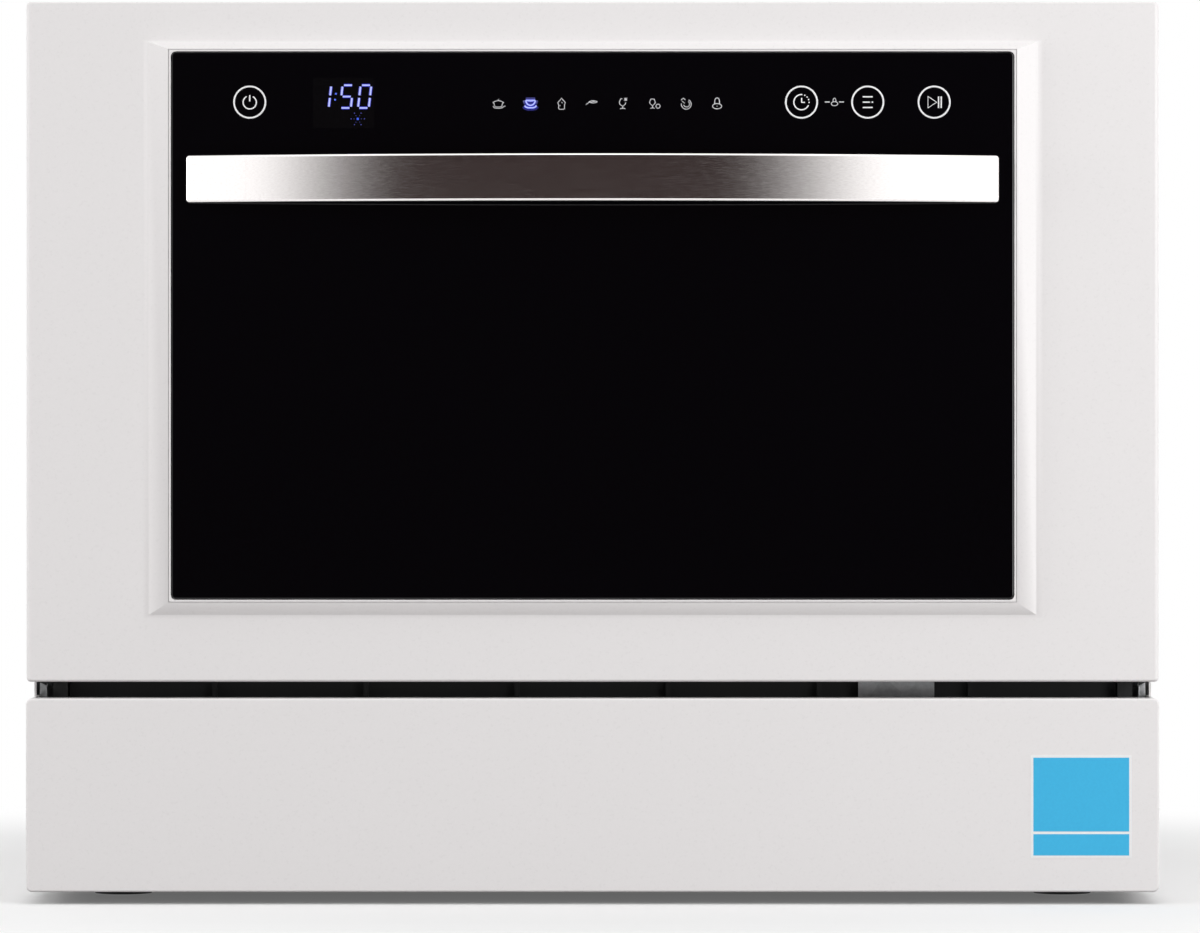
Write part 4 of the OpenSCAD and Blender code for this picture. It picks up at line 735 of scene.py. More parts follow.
@dataclass
class DoorSkin:
    """The door's painted outer panel: a pan with a raised, mitred frame round the glass."""

    half_width: float = 274.8 * MM
    low: float = 108 * MM
    high: float = 438 * MM
    front: float = -239.5 * MM
    back: float = -194.8 * MM
    wall: float = 1.1 * MM
    raise_out: float = 5 * MM
    rim: float = 1.1 * MM
    slope_side: float = 11 * MM
    slope_top: float = 4 * MM
    slope_low: float = 7 * MM
    glass_gap: float = -0.1 * MM
    seat_gap: float = 0.3 * MM
    ledge: float = 8 * MM
    edge_round: float = 2.0 * MM
    recess_round: float = 2.4 * MM
    crest_break: float = 0.25 * MM
    foot_round: float = 1.6 * MM
    bottom_end: float = -203.5 * MM
    arm_front: float = -237 * MM
    arm_inner: float = 259.3 * MM
    arm_outer: float = 272 * MM

    @staticmethod
    def rectangle(even: float, side: float = 0, low: float = 0, high: float = 0) -> Rectangle:
        """Half width, lower and upper level of the glass grown evenly, and then by side, low and high."""
        glass_low, glass_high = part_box("glass_panel")
        return glass_high.x + even + side, glass_low.z - even - low, glass_high.z + even + high

    @staticmethod
    def in_middle(centre: Vector, normal: Vector) -> bool:
        """Whether a face looks forward and lies in the door's middle."""
        return normal.y < -0.9 and abs(centre.x) < 20 * MM and 200 * MM < centre.z < 360 * MM

    def step_inwards(self, piece: Piece, start: float, target: Rectangle, end: float) -> None:
        """Insets the middle face of the front and moves the new ring to its place.

        Args:
            piece: The panel.
            start: The depth at which the middle face lies now.
            target: Half width, lower and upper level of the new ring.
            end: The new ring's depth.
        """
        half, low, high = target
        with editing(piece) as mesh:
            select_faces(piece, mesh, lambda c, n: self.in_middle(c, n) and near(c.y, start))
            bpy.ops.mesh.inset(thickness=0.5 * MM, depth=0)
            mesh = bmesh.from_edit_mesh(piece.data)
            places = {vertex.index: vertex.co.copy() for vertex in mesh.verts if vertex.select}
            bpy.ops.mesh.select_mode(type="VERT")
            for axis, goals in ((0, (-half, half)), (2, (low, high))):
                levels = [place[axis] for place in places.values()]
                for level, goal in zip((min(levels), max(levels)), goals):
                    select_vertices(piece, [k for k, place in places.items() if near(place[axis], level)])
                    move = [0.0, 0.0, 0.0]
                    move[axis] = goal - level
                    bpy.ops.transform.translate(value=move)
            select_vertices(piece, places)
            bpy.ops.transform.translate(value=(0, end - start, 0))

    def build(self) -> Piece:
        """Models the panel and returns it."""
        piece = add_box(
            "door_skin", (-self.half_width, self.front, self.low), (self.half_width, self.back, self.high)
        )
        face = self.front - self.raise_out
        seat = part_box("glass_panel")[1].y + self.seat_gap
        root = self.rectangle(self.rim, self.slope_side, self.slope_low, self.slope_top)
        opening = self.rectangle(self.glass_gap)
        for start, target, end in (
            (self.front, root, self.front), (self.front, self.rectangle(self.rim), face),
            (face, opening, face), (face, opening, seat), (seat, self.rectangle(-self.ledge), seat),
        ):
            self.step_inwards(piece, start, target, end)
        delete_faces(piece, lambda centre, normal: normal.y > 0.9)
        delete_faces(piece, self.in_middle)
        self.round_edges(piece, root, face, opening)
        apply_modifier(piece, "SOLIDIFY", thickness=self.wall, offset=-1.0, use_even_offset=False)
        self.open_bottom(piece)
        smooth(piece, 32)
        return piece

    def round_edges(self, piece: Piece, root: Rectangle, face: float, opening: Rectangle) -> None:
        """Rounds the outer edges, softens the frame's foot and breaks its crest.

        Args:
            piece: The panel.
            root: The frame's outer rectangle on the face.
            face: The crest's depth.
            opening: The glass opening.
        """

        def at_side(p: Vector) -> bool:
            return near(abs(p.x), self.half_width)

        def at_end(p: Vector) -> bool:
            return near(p.z, self.low) or near(p.z, self.high)

        def at_depth(a: Vector, b: Vector, y: float) -> bool:
            return near(a.y, y) and near(b.y, y)

        def recess(a: Vector, b: Vector) -> bool:
            return abs(a.y - b.y) > 0.1 * MM and all(near(abs(p.x), opening[0]) for p in (a, b))

        def outer(a: Vector, b: Vector) -> bool:
            outline = all(at_side(p) or at_end(p) for p in (a, b)) and at_depth(a, b, self.front)
            return outline or all(at_side(p) and at_end(p) for p in (a, b))

        def crest(a: Vector, b: Vector) -> bool:
            return at_depth(a, b, face) and (a - b).length > 100 * MM

        def foot(a: Vector, b: Vector) -> bool:
            half, low, high = root
            inside = [abs(p.x) < half + NEAR and low - NEAR < p.z < high + NEAR for p in (a, b)]
            return all(inside) and at_depth(a, b, self.front)

        for test, width, segments in (
            (recess, self.recess_round, 4), (outer, self.edge_round, 5), (crest, self.crest_break, 2),
            (foot, self.foot_round, 4),
        ):
            bevel_edges(piece, test, width, segments)

    def open_bottom(self, piece: Piece) -> None:
        """Cuts the bottom away behind the hinge and over both hinge arms."""
        under, behind = self.low - 1 * MM, self.back + 1 * MM
        cutters = [
            add_box("cut_a", (-300 * MM, self.bottom_end, under), (300 * MM, behind, self.low + 2.5 * MM))
        ]
        for side in SIDES:
            left, right = sorted((side * self.arm_inner, side * self.arm_outer))
            high = (right, behind, self.low + 4.5 * MM)
            cutters.append(add_box("cut_b", (left, self.arm_front, under), high))
        cut(piece, cutters)


@dataclass
class GlassFront:
    """The black glass with its ground chamfer and the two holes of the handle's screws."""

    chamfer: float = 0.6 * MM
    inset: float = 0.5 * MM
    corner: float = 2.0 * MM
    hole: float = 3.0 * MM

    def build(self) -> Piece:
        """Models the glass and returns it."""
        low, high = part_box("glass_panel")
        inset = Vector((self.inset, 0, self.inset))
        piece = add_box("glass_front", low + inset, high - inset)
        bevel_edges(piece, along(Axis.Y), self.corner, 5)
        bevel_edges(piece, ahead_of(low.y + NEAR), self.chamfer, 2)
        middle = (low.y + high.y) / 2
        cutters = [
            add_disc("drill", (side * POST_X, middle, POST_Z), self.hole, 20 * MM, Axis.Y, 48)
            for side in SIDES
        ]
        cut(piece, cutters)
        smooth(piece, 40)
        return piece


@dataclass
class HandleBar:
    """The bowed flat bar with its softened edges, and the two posts that carry it."""

    length: float = 396.2 * MM
    height: float = 23.0 * MM
    thick: float = 5.0 * MM
    half_angle: float = 13.35
    bow: float = 23.0 * MM
    lowered: float = 1.6 * MM
    corner: float = 1.6 * MM
    front_edge: float = 1.3 * MM
    back_edge: float = 0.7 * MM
    rings: int = 96
    post_r: float = 6.0 * MM
    post_edge: float = 0.4 * MM

    def build(self) -> Piece:
        """Models the bar and its posts as one piece and returns it."""
        half, tall, deep = self.length / 2, self.height / 2, self.thick / 2
        bar = add_box("handle_bow", (-half, -deep, -tall), (half, deep, tall))
        with editing(bar, "EDGE") as mesh:
            select_edges(bar, mesh, along(Axis.X))
            bpy.ops.mesh.subdivide(number_cuts=self.rings - 1)

        def at_corner(a: Vector, b: Vector) -> bool:
            placed = [near(abs(p.x), half) and near(abs(p.z), tall) for p in (a, b)]
            return abs(a.y - b.y) > 0.1 * MM and all(placed)

        def border(a: Vector, b: Vector, y: float) -> bool:
            at_bar_end = min(abs(a.x), abs(b.x)) > half - NEAR
            return near(a.y, y) and near(b.y, y) and ((b - a).length < 0.8 * self.height or at_bar_end)

        bevel_edges(bar, at_corner, self.corner, 4)
        bevel_edges(bar, lambda a, b: border(a, b, -deep), self.front_edge, 4)
        bevel_edges(bar, lambda a, b: border(a, b, deep), self.back_edge, 2)
        bend = math.radians(2 * self.half_angle)
        apply_modifier(bar, "SIMPLE_DEFORM", deform_method="BEND", deform_axis="Z", angle=bend)
        low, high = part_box("handle_bar")
        front = min(vertex.co.y for vertex in bar.data.vertices)
        bar.location = (0, low.y - front, POST_Z - self.lowered)
        apply_place(bar)
        pieces = [bar]
        inner = low.y + self.bow * (POST_X / half) ** 2 + deep
        for side in SIDES:
            middle = (side * POST_X, (inner + high.y) / 2, POST_Z)
            post = add_disc("post", middle, self.post_r, high.y - inner, Axis.Y, 64)
            bevel_edges(post, lambda a, b: min(a.y, b.y) > high.y - NEAR, self.post_edge, 2)
            pieces.append(post)
        whole = join("handle_bow", pieces)
        smooth(whole, 40)
        return whole


# Kick plate and the slot over it


@dataclass
class KickPlate:
    """The pressed front under the door: a shallow pan with softened edges and an open back."""

    corner: float = 2.8 * MM
    edge: float = 1.1 * MM
    wall: float = 1.1 * MM
    upper_return: float = 16 * MM
    tray_half: float = 261.5 * MM
    over: float = 3 * MM

    def build(self) -> Piece:
        """Models the plate and returns it."""
        low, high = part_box("kick_plate")
        over = self.over
        plate = add_box("kick_front", low, high)
        bevel_edges(plate, along(Axis.Y), self.corner, 5)
        delete_faces(plate, lambda centre, normal: normal.y > 0.9)
        bevel_edges(plate, ahead_of(low.y + NEAR), self.edge, 4)
        apply_modifier(plate, "SOLIDIFY", thickness=self.wall, offset=-1.0, use_even_offset=True)
        cut(plate, [
            add_box(
                "cut_top", (low.x + over, low.y + self.upper_return, high.z - over),
                (high.x - over, high.y + over, high.z + over),
            ),
            add_box(
                "cut_low", (-self.tray_half, low.y + over, low.z - over),
                (self.tray_half, high.y + over, low.z + over),
            ),
        ])
        smooth(plate, 35)
        return plate


@dataclass
class SlotEnds:
    """What shows at both ends of the slot under the door: the folded bracket's lip and the beam's end.

    low and the outlines are millimetres, the other lengths metres.
    """

    front: float = -196.5 * MM
    low: float = 96
    sheet: float = 1.5 * MM

    @staticmethod
    def prism(name: str, outline: Sequence[Point], y: float, deep: float) -> Piece:
        """Shapes a box into an outline of four points in millimetres.

        Args:
            name: The piece's name.
            outline: Inner low, outer low, outer high and inner high point.
            y: Its front, in metres.
            deep: Its depth, in metres.

        Returns:
            The new object.
        """
        piece = add_box(name, (0, y, 0), (MM, y + deep, MM))
        with editing(piece, "VERT") as mesh:
            for vertex in mesh.verts:
                right, upper = vertex.co.x > 0.5 * MM, vertex.co.z > 0.5 * MM
                u, v = outline[(2 if right else 3) if upper else (1 if right else 0)]
                vertex.co.x, vertex.co.z = u * MM, v * MM
            bmesh.update_edit_mesh(piece.data)
        return piece

    def upright(
        self, name: str, across: Point, high: Point, y: float, deep: float, low: float = 0
    ) -> Piece:
        """A prism with a level foot between two places across, at the slot's low end or another level."""
        inner, outer = across
        foot = low or self.low
        return self.prism(name, ((inner, foot), (outer, foot), (outer, high[1]), (inner, high[0])), y, deep)

    def build(self) -> None:
        """Models both ends."""
        front, behind = self.front, self.front + 2 * MM
        lip = self.upright("lip", (268.2, 271.6), (104.6, 106.3), front, self.sheet)
        outline = ((267.7, self.low), (268.4, self.low), (268.6, 104.4), (268.2, 104.4))
        fold = self.prism("fold", outline, front - 3 * MM, 4 * MM)
        for part in (lip, fold):
            bevel_edges(part, lambda a, b: True, 0.12 * MM, 2)
        bracket = join("slot_bracket", [lip, fold])
        end = join("beam_end", [
            self.upright("inner", (258.0, 265.4), (107.0, 107.0), front, self.sheet),
            self.upright("outer", (265.3, 272.2), (103.8, 103.8), behind, 1 * MM),
            self.upright("cheek", (268.7, 272.2), (107.4, 107.4), behind, 1 * MM, 103.7),
        ])
        for piece, slot, finish in (
            (bracket, "zinc_sheet", GALVANISED), (end, "black_plastic", BLACK_MOULDED)
        ):
            activate(piece)
            bpy.ops.object.duplicate()
            twin = bpy.context.object
            piece.name, twin.name = piece.name + "_right", piece.name + "_left"
            twin.scale = (-1, 1, 1)
            apply_place(twin)
            with editing(twin):
                bpy.ops.mesh.select_all(action="SELECT")
                bpy.ops.mesh.normals_make_consistent(inside=False)
            for made in (piece, twin):
                smooth(made, 30)
                place_piece(made, "cabinet", slot, finish)


# Printed and lit marks


class Icon(Enum):
    """The program marks, numbered from the left; the cup is lit."""

    POT = 1
    CUP = 2
    BOTTLE = 3
    LEAF = 4
    SPARKLING_GLASS = 5
    GLASS_AND_CUP = 6
    SWIRL = 7
    LOCK = 8


# Each mark's middle across the photo, in pixels, and its lines in millimetres from there
PROGRAMS = {
    Icon.POT: (499.6, [
        line(0.42, (-3.1, 0.5), (-2.0, 1.15), (-0.5, 1.5), (0.9, 1.15), (2.2, 0.5)),
        line(0.42, (-0.5, 1.5), (-0.5, 2.1)),
        line(
            0.42, (-3.1, 0.5), (-2.6, 0.2), (-2.3, -1.0), (-1.8, -1.6), (0.9, -1.6), (1.3, -1.0),
            (1.6, 0.2), (2.2, 0.5),
        ),
        line(0.42, (-3.1, -1.3), (-2.3, -2.15), (0.5, -2.25), (1.6, -2.0), (2.1, -1.3), (3.0, -1.25)),
    ]),
    Icon.CUP: (530.8, [
        line(0.7, *arc((0, 1.6), 2.25, 180, 360, 22, 1.08)),
        line(0.55, (-2.25, 1.65), (2.25, 1.65)),
        line(0.4, *arc((0, 1.6), 1.75, 180, 360, 14, 0.25)),
        line(0.75, (-2.85, -0.95), (-2.3, -1.65), (-1.2, -2.0), (1.2, -2.0), (2.3, -1.65), (2.85, -0.95)),
    ]),
    Icon.BOTTLE: (561.8, [
        loop(
            0.45, (-1.0, -2.75), (-1.45, -2.3), (-1.35, -0.7), (-1.85, 0.5), (-0.65, 1.75), (0, 2.75),
            (0.65, 1.75), (1.85, 0.5), (1.35, -0.7), (1.45, -2.3), (0.9, -2.75),
        ),
        dot(-0.75, -0.95, 0.5), line(0.35, (-0.1, 0.75), (0.5, 0.25)),
    ]),
    Icon.LEAF: (592.8, [
        loop(0.42, *arc((0.2, -2.6), 4.0, 60, 122, 12), *arc((0.2, 4.3), 4.0, 238, 300, 12)),
        line(0.38, (-3.2, -0.5), (-1.8, 0.6), (0.2, 0.9), (1.4, 1.3)),
    ]),
    Icon.SPARKLING_GLASS: (623.3, [
        line(
            0.45, (-0.5, 2.4), (-1.3, 2.2), (-1.85, 0.7), (-1.6, -0.3), (-0.2, -1.35), (1.0, -0.3),
            (1.25, 0.5),
        ),
        line(0.45, (-0.2, -1.35), (-0.2, -2.2)),
        line(0.42, (-1.55, -2.55), (-0.9, -2.3), (0.5, -2.3), (1.1, -2.55)),
        line(0.34, (0.5, 2.8), (1.9, 1.4)), line(0.34, (1.9, 2.8), (0.5, 1.4)),
        line(0.28, (1.2, 2.85), (1.2, 1.35)), line(0.28, (0.45, 2.1), (1.95, 2.1)),
    ]),
    Icon.GLASS_AND_CUP: (655.0, [
        loop(
            0.45, (-2.0, 2.2), (-0.35, 2.2), (0.15, 0.75), (0.0, 0.05), (-1.15, -1.1), (-2.4, 0.05),
            (-2.6, 0.75),
        ),
        line(0.45, (-1.15, -1.1), (-1.15, -1.9)),
        line(0.42, (-2.2, -2.35), (-1.65, -2.1), (-0.65, -2.1), (-0.15, -2.35)),
        loop(0.45, *arc((1.5, -1.25), 1.0, 0, 340, 16)),
    ]),
    Icon.SWIRL: (686.1, [
        line(0.42, *arc((0.1, -0.3), 2.4, 62, -190, 28)),
        line(0.40, *arc((0.25, -0.2), 1.45, 60, -165, 20)),
        line(0.42, (-2.4, 1.7), (-1.3, 2.65), (-0.3, 1.8)), line(0.36, (-2.0, 1.2), (-0.6, 0.2)),
    ]),
    Icon.LOCK: (717.1, [
        line(
            0.45, (-1.15, -0.35), (-1.15, 1.0), *arc((0, 1.2), 1.15, 180, 0, 12, 1.35), (1.15, 1.0),
            (1.15, -0.35),
        ),
        loop(0.45, *arc((0, -1.25), 2.2, 0, 352, 28, 0.58)),
        dot(0, -1.25, 0.45),
    ]),
}

# Each touch key's middle from the door's middle and the lines inside its ring, in millimetres
KEYS = {
    "power_key": (-166.1, [line(0.7, *arc((0, -0.1), 3.2, 118, 422, 30)), line(0.7, (0, 3.4), (0, 0.4))]),
    "delay_key": (101.2, [
        line(0.7, *arc((0, 0), 3.7, 84, 336, 28)), line(0.7, (0.1, 2.1), (0.1, -0.1), (1.7, -0.1)),
        *(dot(u, v, 0.75) for u, v in arc((0, 0), 3.7, -2, 64, 4)),
    ]),
    "program_key": (133.3, [
        line(0.75, (-2.4, 2.6), (2.4, 2.6)), line(0.75, (-2.4, 0.0), (1.0, 0.0)),
        line(0.75, (-2.4, -2.6), (2.4, -2.6)), dot(2.25, 0.0, 0.85),
    ]),
    "start_key": (165.5, [
        loop(0.65, (-3.0, 2.8), (1.2, 0), (-3.0, -2.8)),
        line(0.65, (2.1, 2.8), (2.1, -2.8)), line(0.65, (3.4, 2.8), (3.4, -2.8)),
    ]),
}
KEY_LOCK = [
    line(0.65, (-4.7, 0.1), (-2.3, 0.1)), line(0.65, (2.2, 0.1), (4.6, 0.1)),
    line(0.42, *arc((0, 0.3), 0.75, 0, 180, 10, 2.2)), loop(0.42, *arc((0, -0.75), 1.6, 0, 350, 18, 0.62)),
]


@dataclass
class Marks:
    """The control marks on the glass: touch keys, program marks and the lit time.

    Lengths with MM are metres; the others are millimetres, and lean is in degrees.
    """

    row_z: float = 389.0 * MM
    icon_z: float = 388.3 * MM
    key_lock_x: float = 117.2 * MM
    ring_r: float = 7.6
    ring_w: float = 0.95
    digit_z: float = 391.7
    digit_half: float = 5.5
    digit_side: float = 2.6
    segment_gap: float = 0.65
    segment_w: float = 0.85
    lean: float = 6.5
    dry_x: float = -113.75
    dry_z: float = 380.9

    @staticmethod
    def mark(
        name: str, strokes: Sequence[Stroke], x: float, z: float, ink: Finish, raised: float = 0.06 * MM
    ) -> None:
        """Draws strokes on the glass's face.

        Args:
            name: The mark's name.
            strokes: Its lines.
            x: Its place across, in metres.
            z: Its level, in metres.
            ink: Its finish.
            raised: The height of the print, in metres.
        """
        piece = add_line(name, strokes, raised)
        piece.location = (x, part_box("glass_panel")[0].y - 0.01 * MM, z)
        place_piece(piece, "door", "display_black" if isinstance(ink, LitInk) else "white_plastic", ink)

    def build(self) -> None:
        """Models every mark."""
        ring = loop(self.ring_w, *arc((0, 0), self.ring_r, 0, 356, 72))
        for name, (place, inside) in KEYS.items():
            self.mark(name + "_mark", [ring, *inside], place * MM, self.row_z, WHITE_INK)
        self.mark("key_lock_mark", KEY_LOCK, self.key_lock_x, self.row_z, GREY_INK)
        for icon, (pixel, strokes) in PROGRAMS.items():
            x = (pixel - PHOTO_MIDDLE) / PHOTO_SCALE
            ink = LIT_WHITE if icon is Icon.CUP else GREY_INK
            self.mark("program_mark_%d" % icon.value, strokes, x, self.icon_z, ink)
            if icon is Icon.CUP:
                self.halo("program_light", strokes, x, self.icon_z)
        self.window()
        self.time()

    @staticmethod
    def window() -> None:
        """Lays the film of the display's window, barely lighter than the glass round it."""
        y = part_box("glass_panel")[0].y
        film = add_box(
            "display_window", (-135.4 * MM, y - 0.02 * MM, 376.5 * MM),
            (-105.8 * MM, y + 0.1 * MM, 400.8 * MM),
        )
        bevel_edges(film, along(Axis.Y), 0.8 * MM, 4)
        place_piece(film, "door", "black_glass", WINDOW_FILM)

    def halo(self, name: str, strokes: Sequence[Stroke], x: float, z: float) -> None:
        """Lays two wider, dimmer layers of light round a lit mark.

        Args:
            name: The layers' name.
            strokes: The lit mark's lines.
            x: The mark's place across, in metres.
            z: Its level, in metres.
        """
        for layer, (extra, raised, ink) in enumerate(((0.8, 0.04, NEAR_HALO), (2.6, 0.02, FAR_HALO)), 1):
            wide = [replace(stroke, width=stroke.width + extra) for stroke in strokes]
            self.mark("%s_%d" % (name, layer), wide, x, z, ink, raised * MM)

    def time(self) -> None:
        """Models the lit time, its colon and the star of dots under it."""
        shapes: list[Stroke] = []
        for x, segments in ((-129.8, "bc"), (-119.1, "afgcd"), (-110.4, "abcdef")):
            shapes += self.digit(x, segments)
        colon = [line(1.0, (x, z - 0.4), (x + 0.1, z + 0.4)) for x, z in ((-124.4, 393.1), (-124.8, 390.2))]
        star = []
        for angle in (math.radians(60 * k) for k in range(6)):
            for reach, size in ((3.2, 0.5), (1.8, 0.34)):
                x, z = self.dry_x + reach * math.cos(angle), self.dry_z + reach * math.sin(angle)
                star.append(dot(x, z, size))
        self.mark("time_digits", shapes, 0, 0, LIT_WHITE)
        self.halo("time_light", shapes, 0, 0)
        self.mark("time_colon", colon, 0, 0, LIT_BLUE)
        self.mark("dry_light", [dot(self.dry_x, self.dry_z, 1.2)], 0, 0, LIT_BLUE)
        self.mark("dry_star", star, 0, 0, LIT_VIOLET)

    def digit(self, x: float, segments: str) -> list[Stroke]:
        """Segments of one digit.

        Args:
            x: The digit's middle, in millimetres.
            segments: The letters of the lit segments, a at the top, then clockwise, g in the middle.

        Returns:
            One short thick stroke for each lit segment.
        """
        side, half, gap = self.digit_side, self.digit_half, self.segment_gap
        lean = math.tan(math.radians(self.lean))
        ends = {
            "a": ((-side + gap, half), (side - gap, half)), "d": ((-side + gap, -half), (side - gap, -half)),
            "g": ((-side + gap, 0), (side - gap, 0)),
            "b": ((side, half - gap), (side, gap)), "c": ((side, -gap), (side, -half + gap)),
            "e": ((-side, -gap), (-side, -half + gap)), "f": ((-side, half - gap), (-side, gap)),
        }
        return [
            line(self.segment_w, *((x + u + lean * v, self.digit_z + v) for u, v in ends[letter]))
            for letter in segments
        ]


@dataclass
class KickLabel:
    """The plain blue label at the kick plate's lower right: a bordered field over a narrow band."""

    left: float = 212.6 * MM
    right: float = 261.6 * MM
    low: float = 22.5 * MM
    high: float = 72.5 * MM
    border: float = 1.25 * MM
    band: float = 10.4 * MM

    def build(self) -> None:
        """Models the label's sheet and its two blue fields."""
        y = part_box("kick_plate")[0].y
        sheet = add_box(
            "label_sheet", (self.left, y - 0.12 * MM, self.low), (self.right, y + 0.02 * MM, self.high)
        )
        bevel_edges(sheet, along(Axis.Y), 0.4 * MM, 3)
        bevel_edges(sheet, ahead_of(y - 0.1 * MM), 0.04 * MM, 1)
        place_piece(sheet, "cabinet", "white_plastic", PAPER_WHITE)
        left, right = self.left + self.border, self.right - self.border
        split = self.low + self.border + self.band
        for name, low, high in (
            ("label_band", self.low + self.border, split),
            ("label_field", split + self.border, self.high - self.border),
        ):
            field = add_box(name, (left, y - 0.15 * MM, low), (right, y - 0.1 * MM, high))
            bevel_edges(field, ahead_of(y - 0.14 * MM), 0.02 * MM, 1)
            place_piece(field, "cabinet", "blue_plastic", LABEL_BLUE)


# Studio


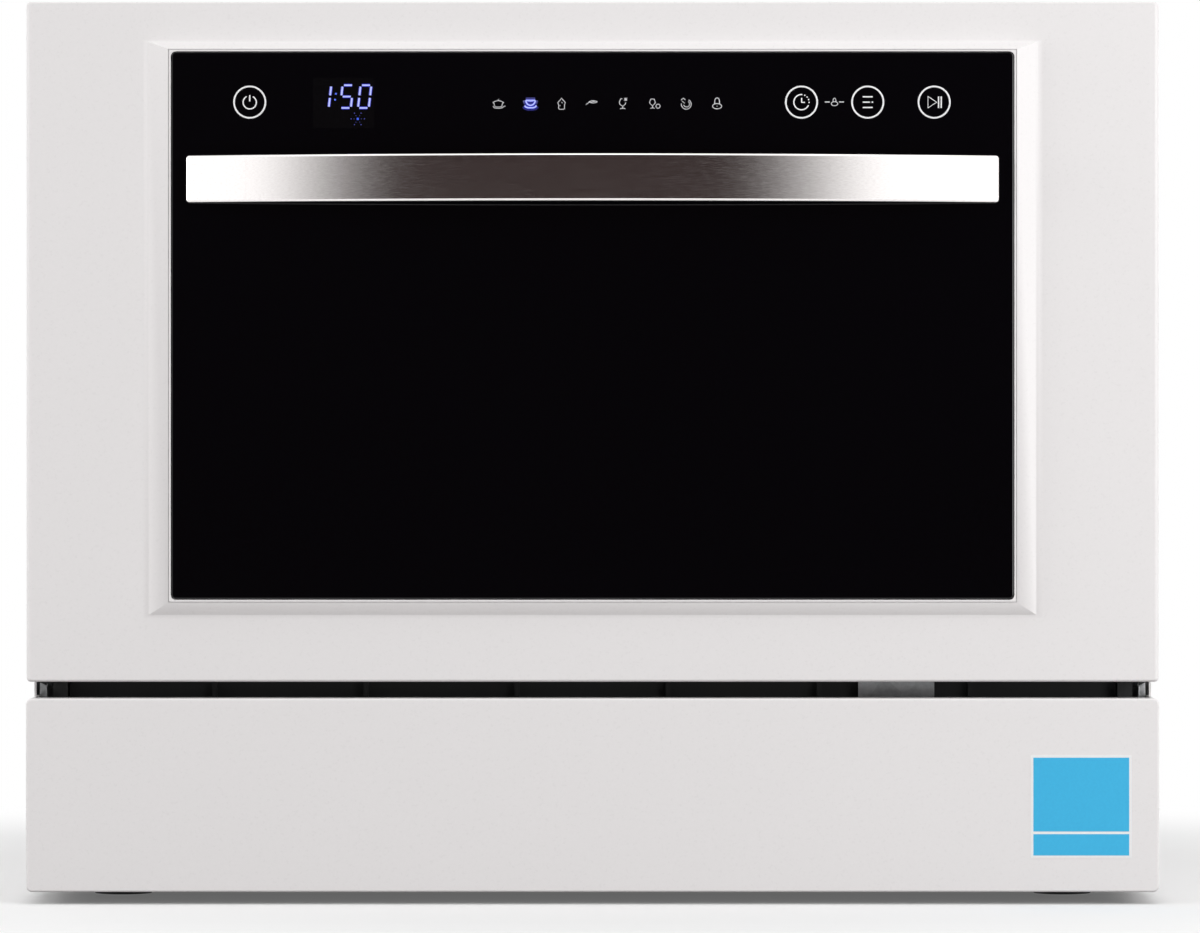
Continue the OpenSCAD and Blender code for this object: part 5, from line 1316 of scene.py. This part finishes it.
@dataclass
class Studio:
    """Camera at the photograph's view, soft lamps, pale world and floor.

    Lengths are metres and angles degrees; upright squashes the world so that the dark room behind
    the camera stands taller than it is wide.
    """

    distance: float = 3.2
    seen_width: float = 0.5822
    centre_x: float = 0.0036
    centre_z: float = 0.2125
    sensor: float = 36
    floor_radius: float = 3.0
    dark_edge: float = 24.5
    dark_core: float = 11.2
    dark_tilt: float = 2
    upright: float = 0.45
    matt_light: float = 0.745
    mirror_light: float = 1.15

    def build(self) -> None:
        """Sets up everything that isn't part of the object."""
        self.camera()
        self.world()
        self.floor()
        self.lamp("right_softbox", (1.7, -1.8, 0.6), (1.2, 1.3), 30)
        self.lamp("left_softbox", (-2.2, -0.9, 0.6), (1.0, 1.3), 21)
        self.lamp("top_softbox", (0.3, -0.9, 2.1), (1.8, 1.2), 3)
        bpy.context.scene.view_settings.view_transform = "Standard"

    def camera(self) -> None:
        """Places the camera level with the middle of the photograph."""
        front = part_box("kick_plate")[0].y
        data = bpy.data.cameras.new("camera")
        data.sensor_width = self.sensor
        data.lens = self.sensor * self.distance / self.seen_width
        camera = bpy.data.objects.new("camera", data)
        bpy.context.scene.collection.objects.link(camera)
        camera.location = (self.centre_x, front - self.distance, self.centre_z)
        camera.rotation_euler = (math.pi / 2, 0, 0)
        bpy.context.scene.camera = camera

    @staticmethod
    def lamp(name: str, place: tuple[float, float, float], size: tuple[float, float], power: float) -> None:
        """Adds a soft lamp that faces the object.

        Args:
            name: The lamp's name.
            place: Its place in metres.
            size: Its width and height in metres.
            power: Its power in watts.
        """
        data = bpy.data.lights.new(name, "AREA")
        data.shape = "RECTANGLE"
        data.size, data.size_y = size
        data.energy = power
        lamp = bpy.data.objects.new(name, data)
        bpy.context.scene.collection.objects.link(lamp)
        lamp.location = place
        lamp.rotation_euler = (Vector((0, 0, 0.2)) - Vector(place)).to_track_quat("-Z", "Y").to_euler()

    def world(self) -> None:
        """Pale surroundings with the dark room behind the camera; the camera itself sees white."""
        world = bpy.data.worlds.new("studio")
        bpy.context.scene.world = world
        world.use_nodes = True
        tree = world.node_tree
        tree.nodes.clear()
        tilt, edge, core = (math.radians(angle) for angle in (self.dark_tilt, self.dark_edge, self.dark_core))
        place = add_node(tree, "TexCoord")
        squash = add_node(tree, "VectorMath", {1: (1, 1, self.upright)}, operation="MULTIPLY")
        even = add_node(tree, "VectorMath", operation="NORMALIZE")
        towards = (-math.sin(tilt), -math.cos(tilt), 0)
        facing = add_node(tree, "VectorMath", {1: towards}, operation="DOT_PRODUCT")
        fade = add_node(
            tree, "MapRange", {"From Min": math.cos(edge), "From Max": math.cos(core)},
            interpolation_type="SMOOTHSTEP",
        )
        shades = {"A": (1, 1, 1, 1), "B": (0.028, 0.018, 0.017, 1)}
        room = add_node(tree, "Mix", shades, data_type="RGBA")
        matt = add_node(tree, "Background", {"Strength": self.matt_light})
        mirror = add_node(tree, "Background", {"Strength": self.mirror_light})
        white = add_node(tree, "Background", {"Color": (1, 1, 1, 1)})
        rays = add_node(tree, "LightPath")
        mirrored = add_node(tree, "Math", operation="MAXIMUM")
        output = add_node(tree, "OutputWorld")
        inner = mix_shaders(tree, (mirrored, 0), matt, mirror)
        outer = mix_shaders(tree, (rays, "Is Camera Ray"), inner, white)
        wire(
            tree,
            (place, "Generated", squash, 0), (squash, 0, even, 0), (even, 0, facing, 0),
            (facing, "Value", fade, "Value"), (fade, "Result", room, "Factor"),
            (room, "Result", matt, "Color"), (room, "Result", mirror, "Color"),
            (rays, "Is Glossy Ray", mirrored, 0), (rays, "Is Transmission Ray", mirrored, 1),
            (outer, 0, output, "Surface"),
        )

    def floor(self) -> None:
        """Adds the round pale floor, which keeps a light shadow in the camera's view."""
        clear_selection()
        bpy.ops.mesh.primitive_circle_add(
            vertices=96, radius=self.floor_radius, fill_type="NGON", location=(0, 0, 0)
        )
        floor = bpy.context.object
        floor.name = "floor"
        material = bpy.data.materials.new("pale_floor")
        material.use_nodes = True
        tree = material.node_tree
        tree.nodes.clear()
        place = add_node(tree, "TexCoord")
        reach = add_node(tree, "VectorMath", operation="LENGTH")
        far = add_node(
            tree, "MapRange", {"From Min": 0.33, "From Max": 0.75, "To Min": 0.12},
            interpolation_type="SMOOTHSTEP",
        )
        rays = add_node(tree, "LightPath")
        shown = add_node(tree, "Math", {0: 1.0}, operation="SUBTRACT", use_clamp=True)
        matt = add_node(tree, "BsdfDiffuse", {"Color": (0.92, 0.92, 0.92, 1)})
        pale = add_node(tree, "Emission", {"Strength": 1.0})
        bounce = add_node(tree, "BsdfDiffuse", {"Color": (0.26, 0.248, 0.248, 1)})
        output = add_node(tree, "OutputMaterial")
        seen = mix_shaders(tree, (far, "Result"), matt, pale)
        both = mix_shaders(tree, (shown, 0), bounce, seen)
        wire(
            tree,
            (place, "Object", reach, 0), (reach, "Value", far, "Value"), (rays, "Is Diffuse Ray", shown, 1),
            (both, 0, output, "Surface"),
        )
        floor.data.materials.append(material)


def dress_nodes() -> None:
    """Gives each carried-over CAD node its finish."""
    for finish, names in FINISH_OF.items():
        for name in names:
            paint(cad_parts[name], finish)
        LOG.info("%s on %d nodes", finish.name, len(names))


def main() -> None:
    """Builds the studio and every piece."""
    logging.basicConfig(level=logging.INFO, format="%(name)s: %(message)s")
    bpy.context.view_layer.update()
    Studio().build()
    dress_nodes()
    place_piece(DoorSkin().build(), "door", "white_paint", WHITE_COAT, ["door_panel"])
    place_piece(GlassFront().build(), "door", "black_glass", BLACK_GLASS, ["glass_panel"])
    place_piece(HandleBar().build(), "door", "handle_steel", BRUSHED_BAR, ["handle_bar"])
    place_piece(KickPlate().build(), "cabinet", "white_paint", WHITE_COAT, ["kick_plate"])
    SlotEnds().build()
    Marks().build()
    KickLabel().build()


if __name__ == "__main__":
    main()
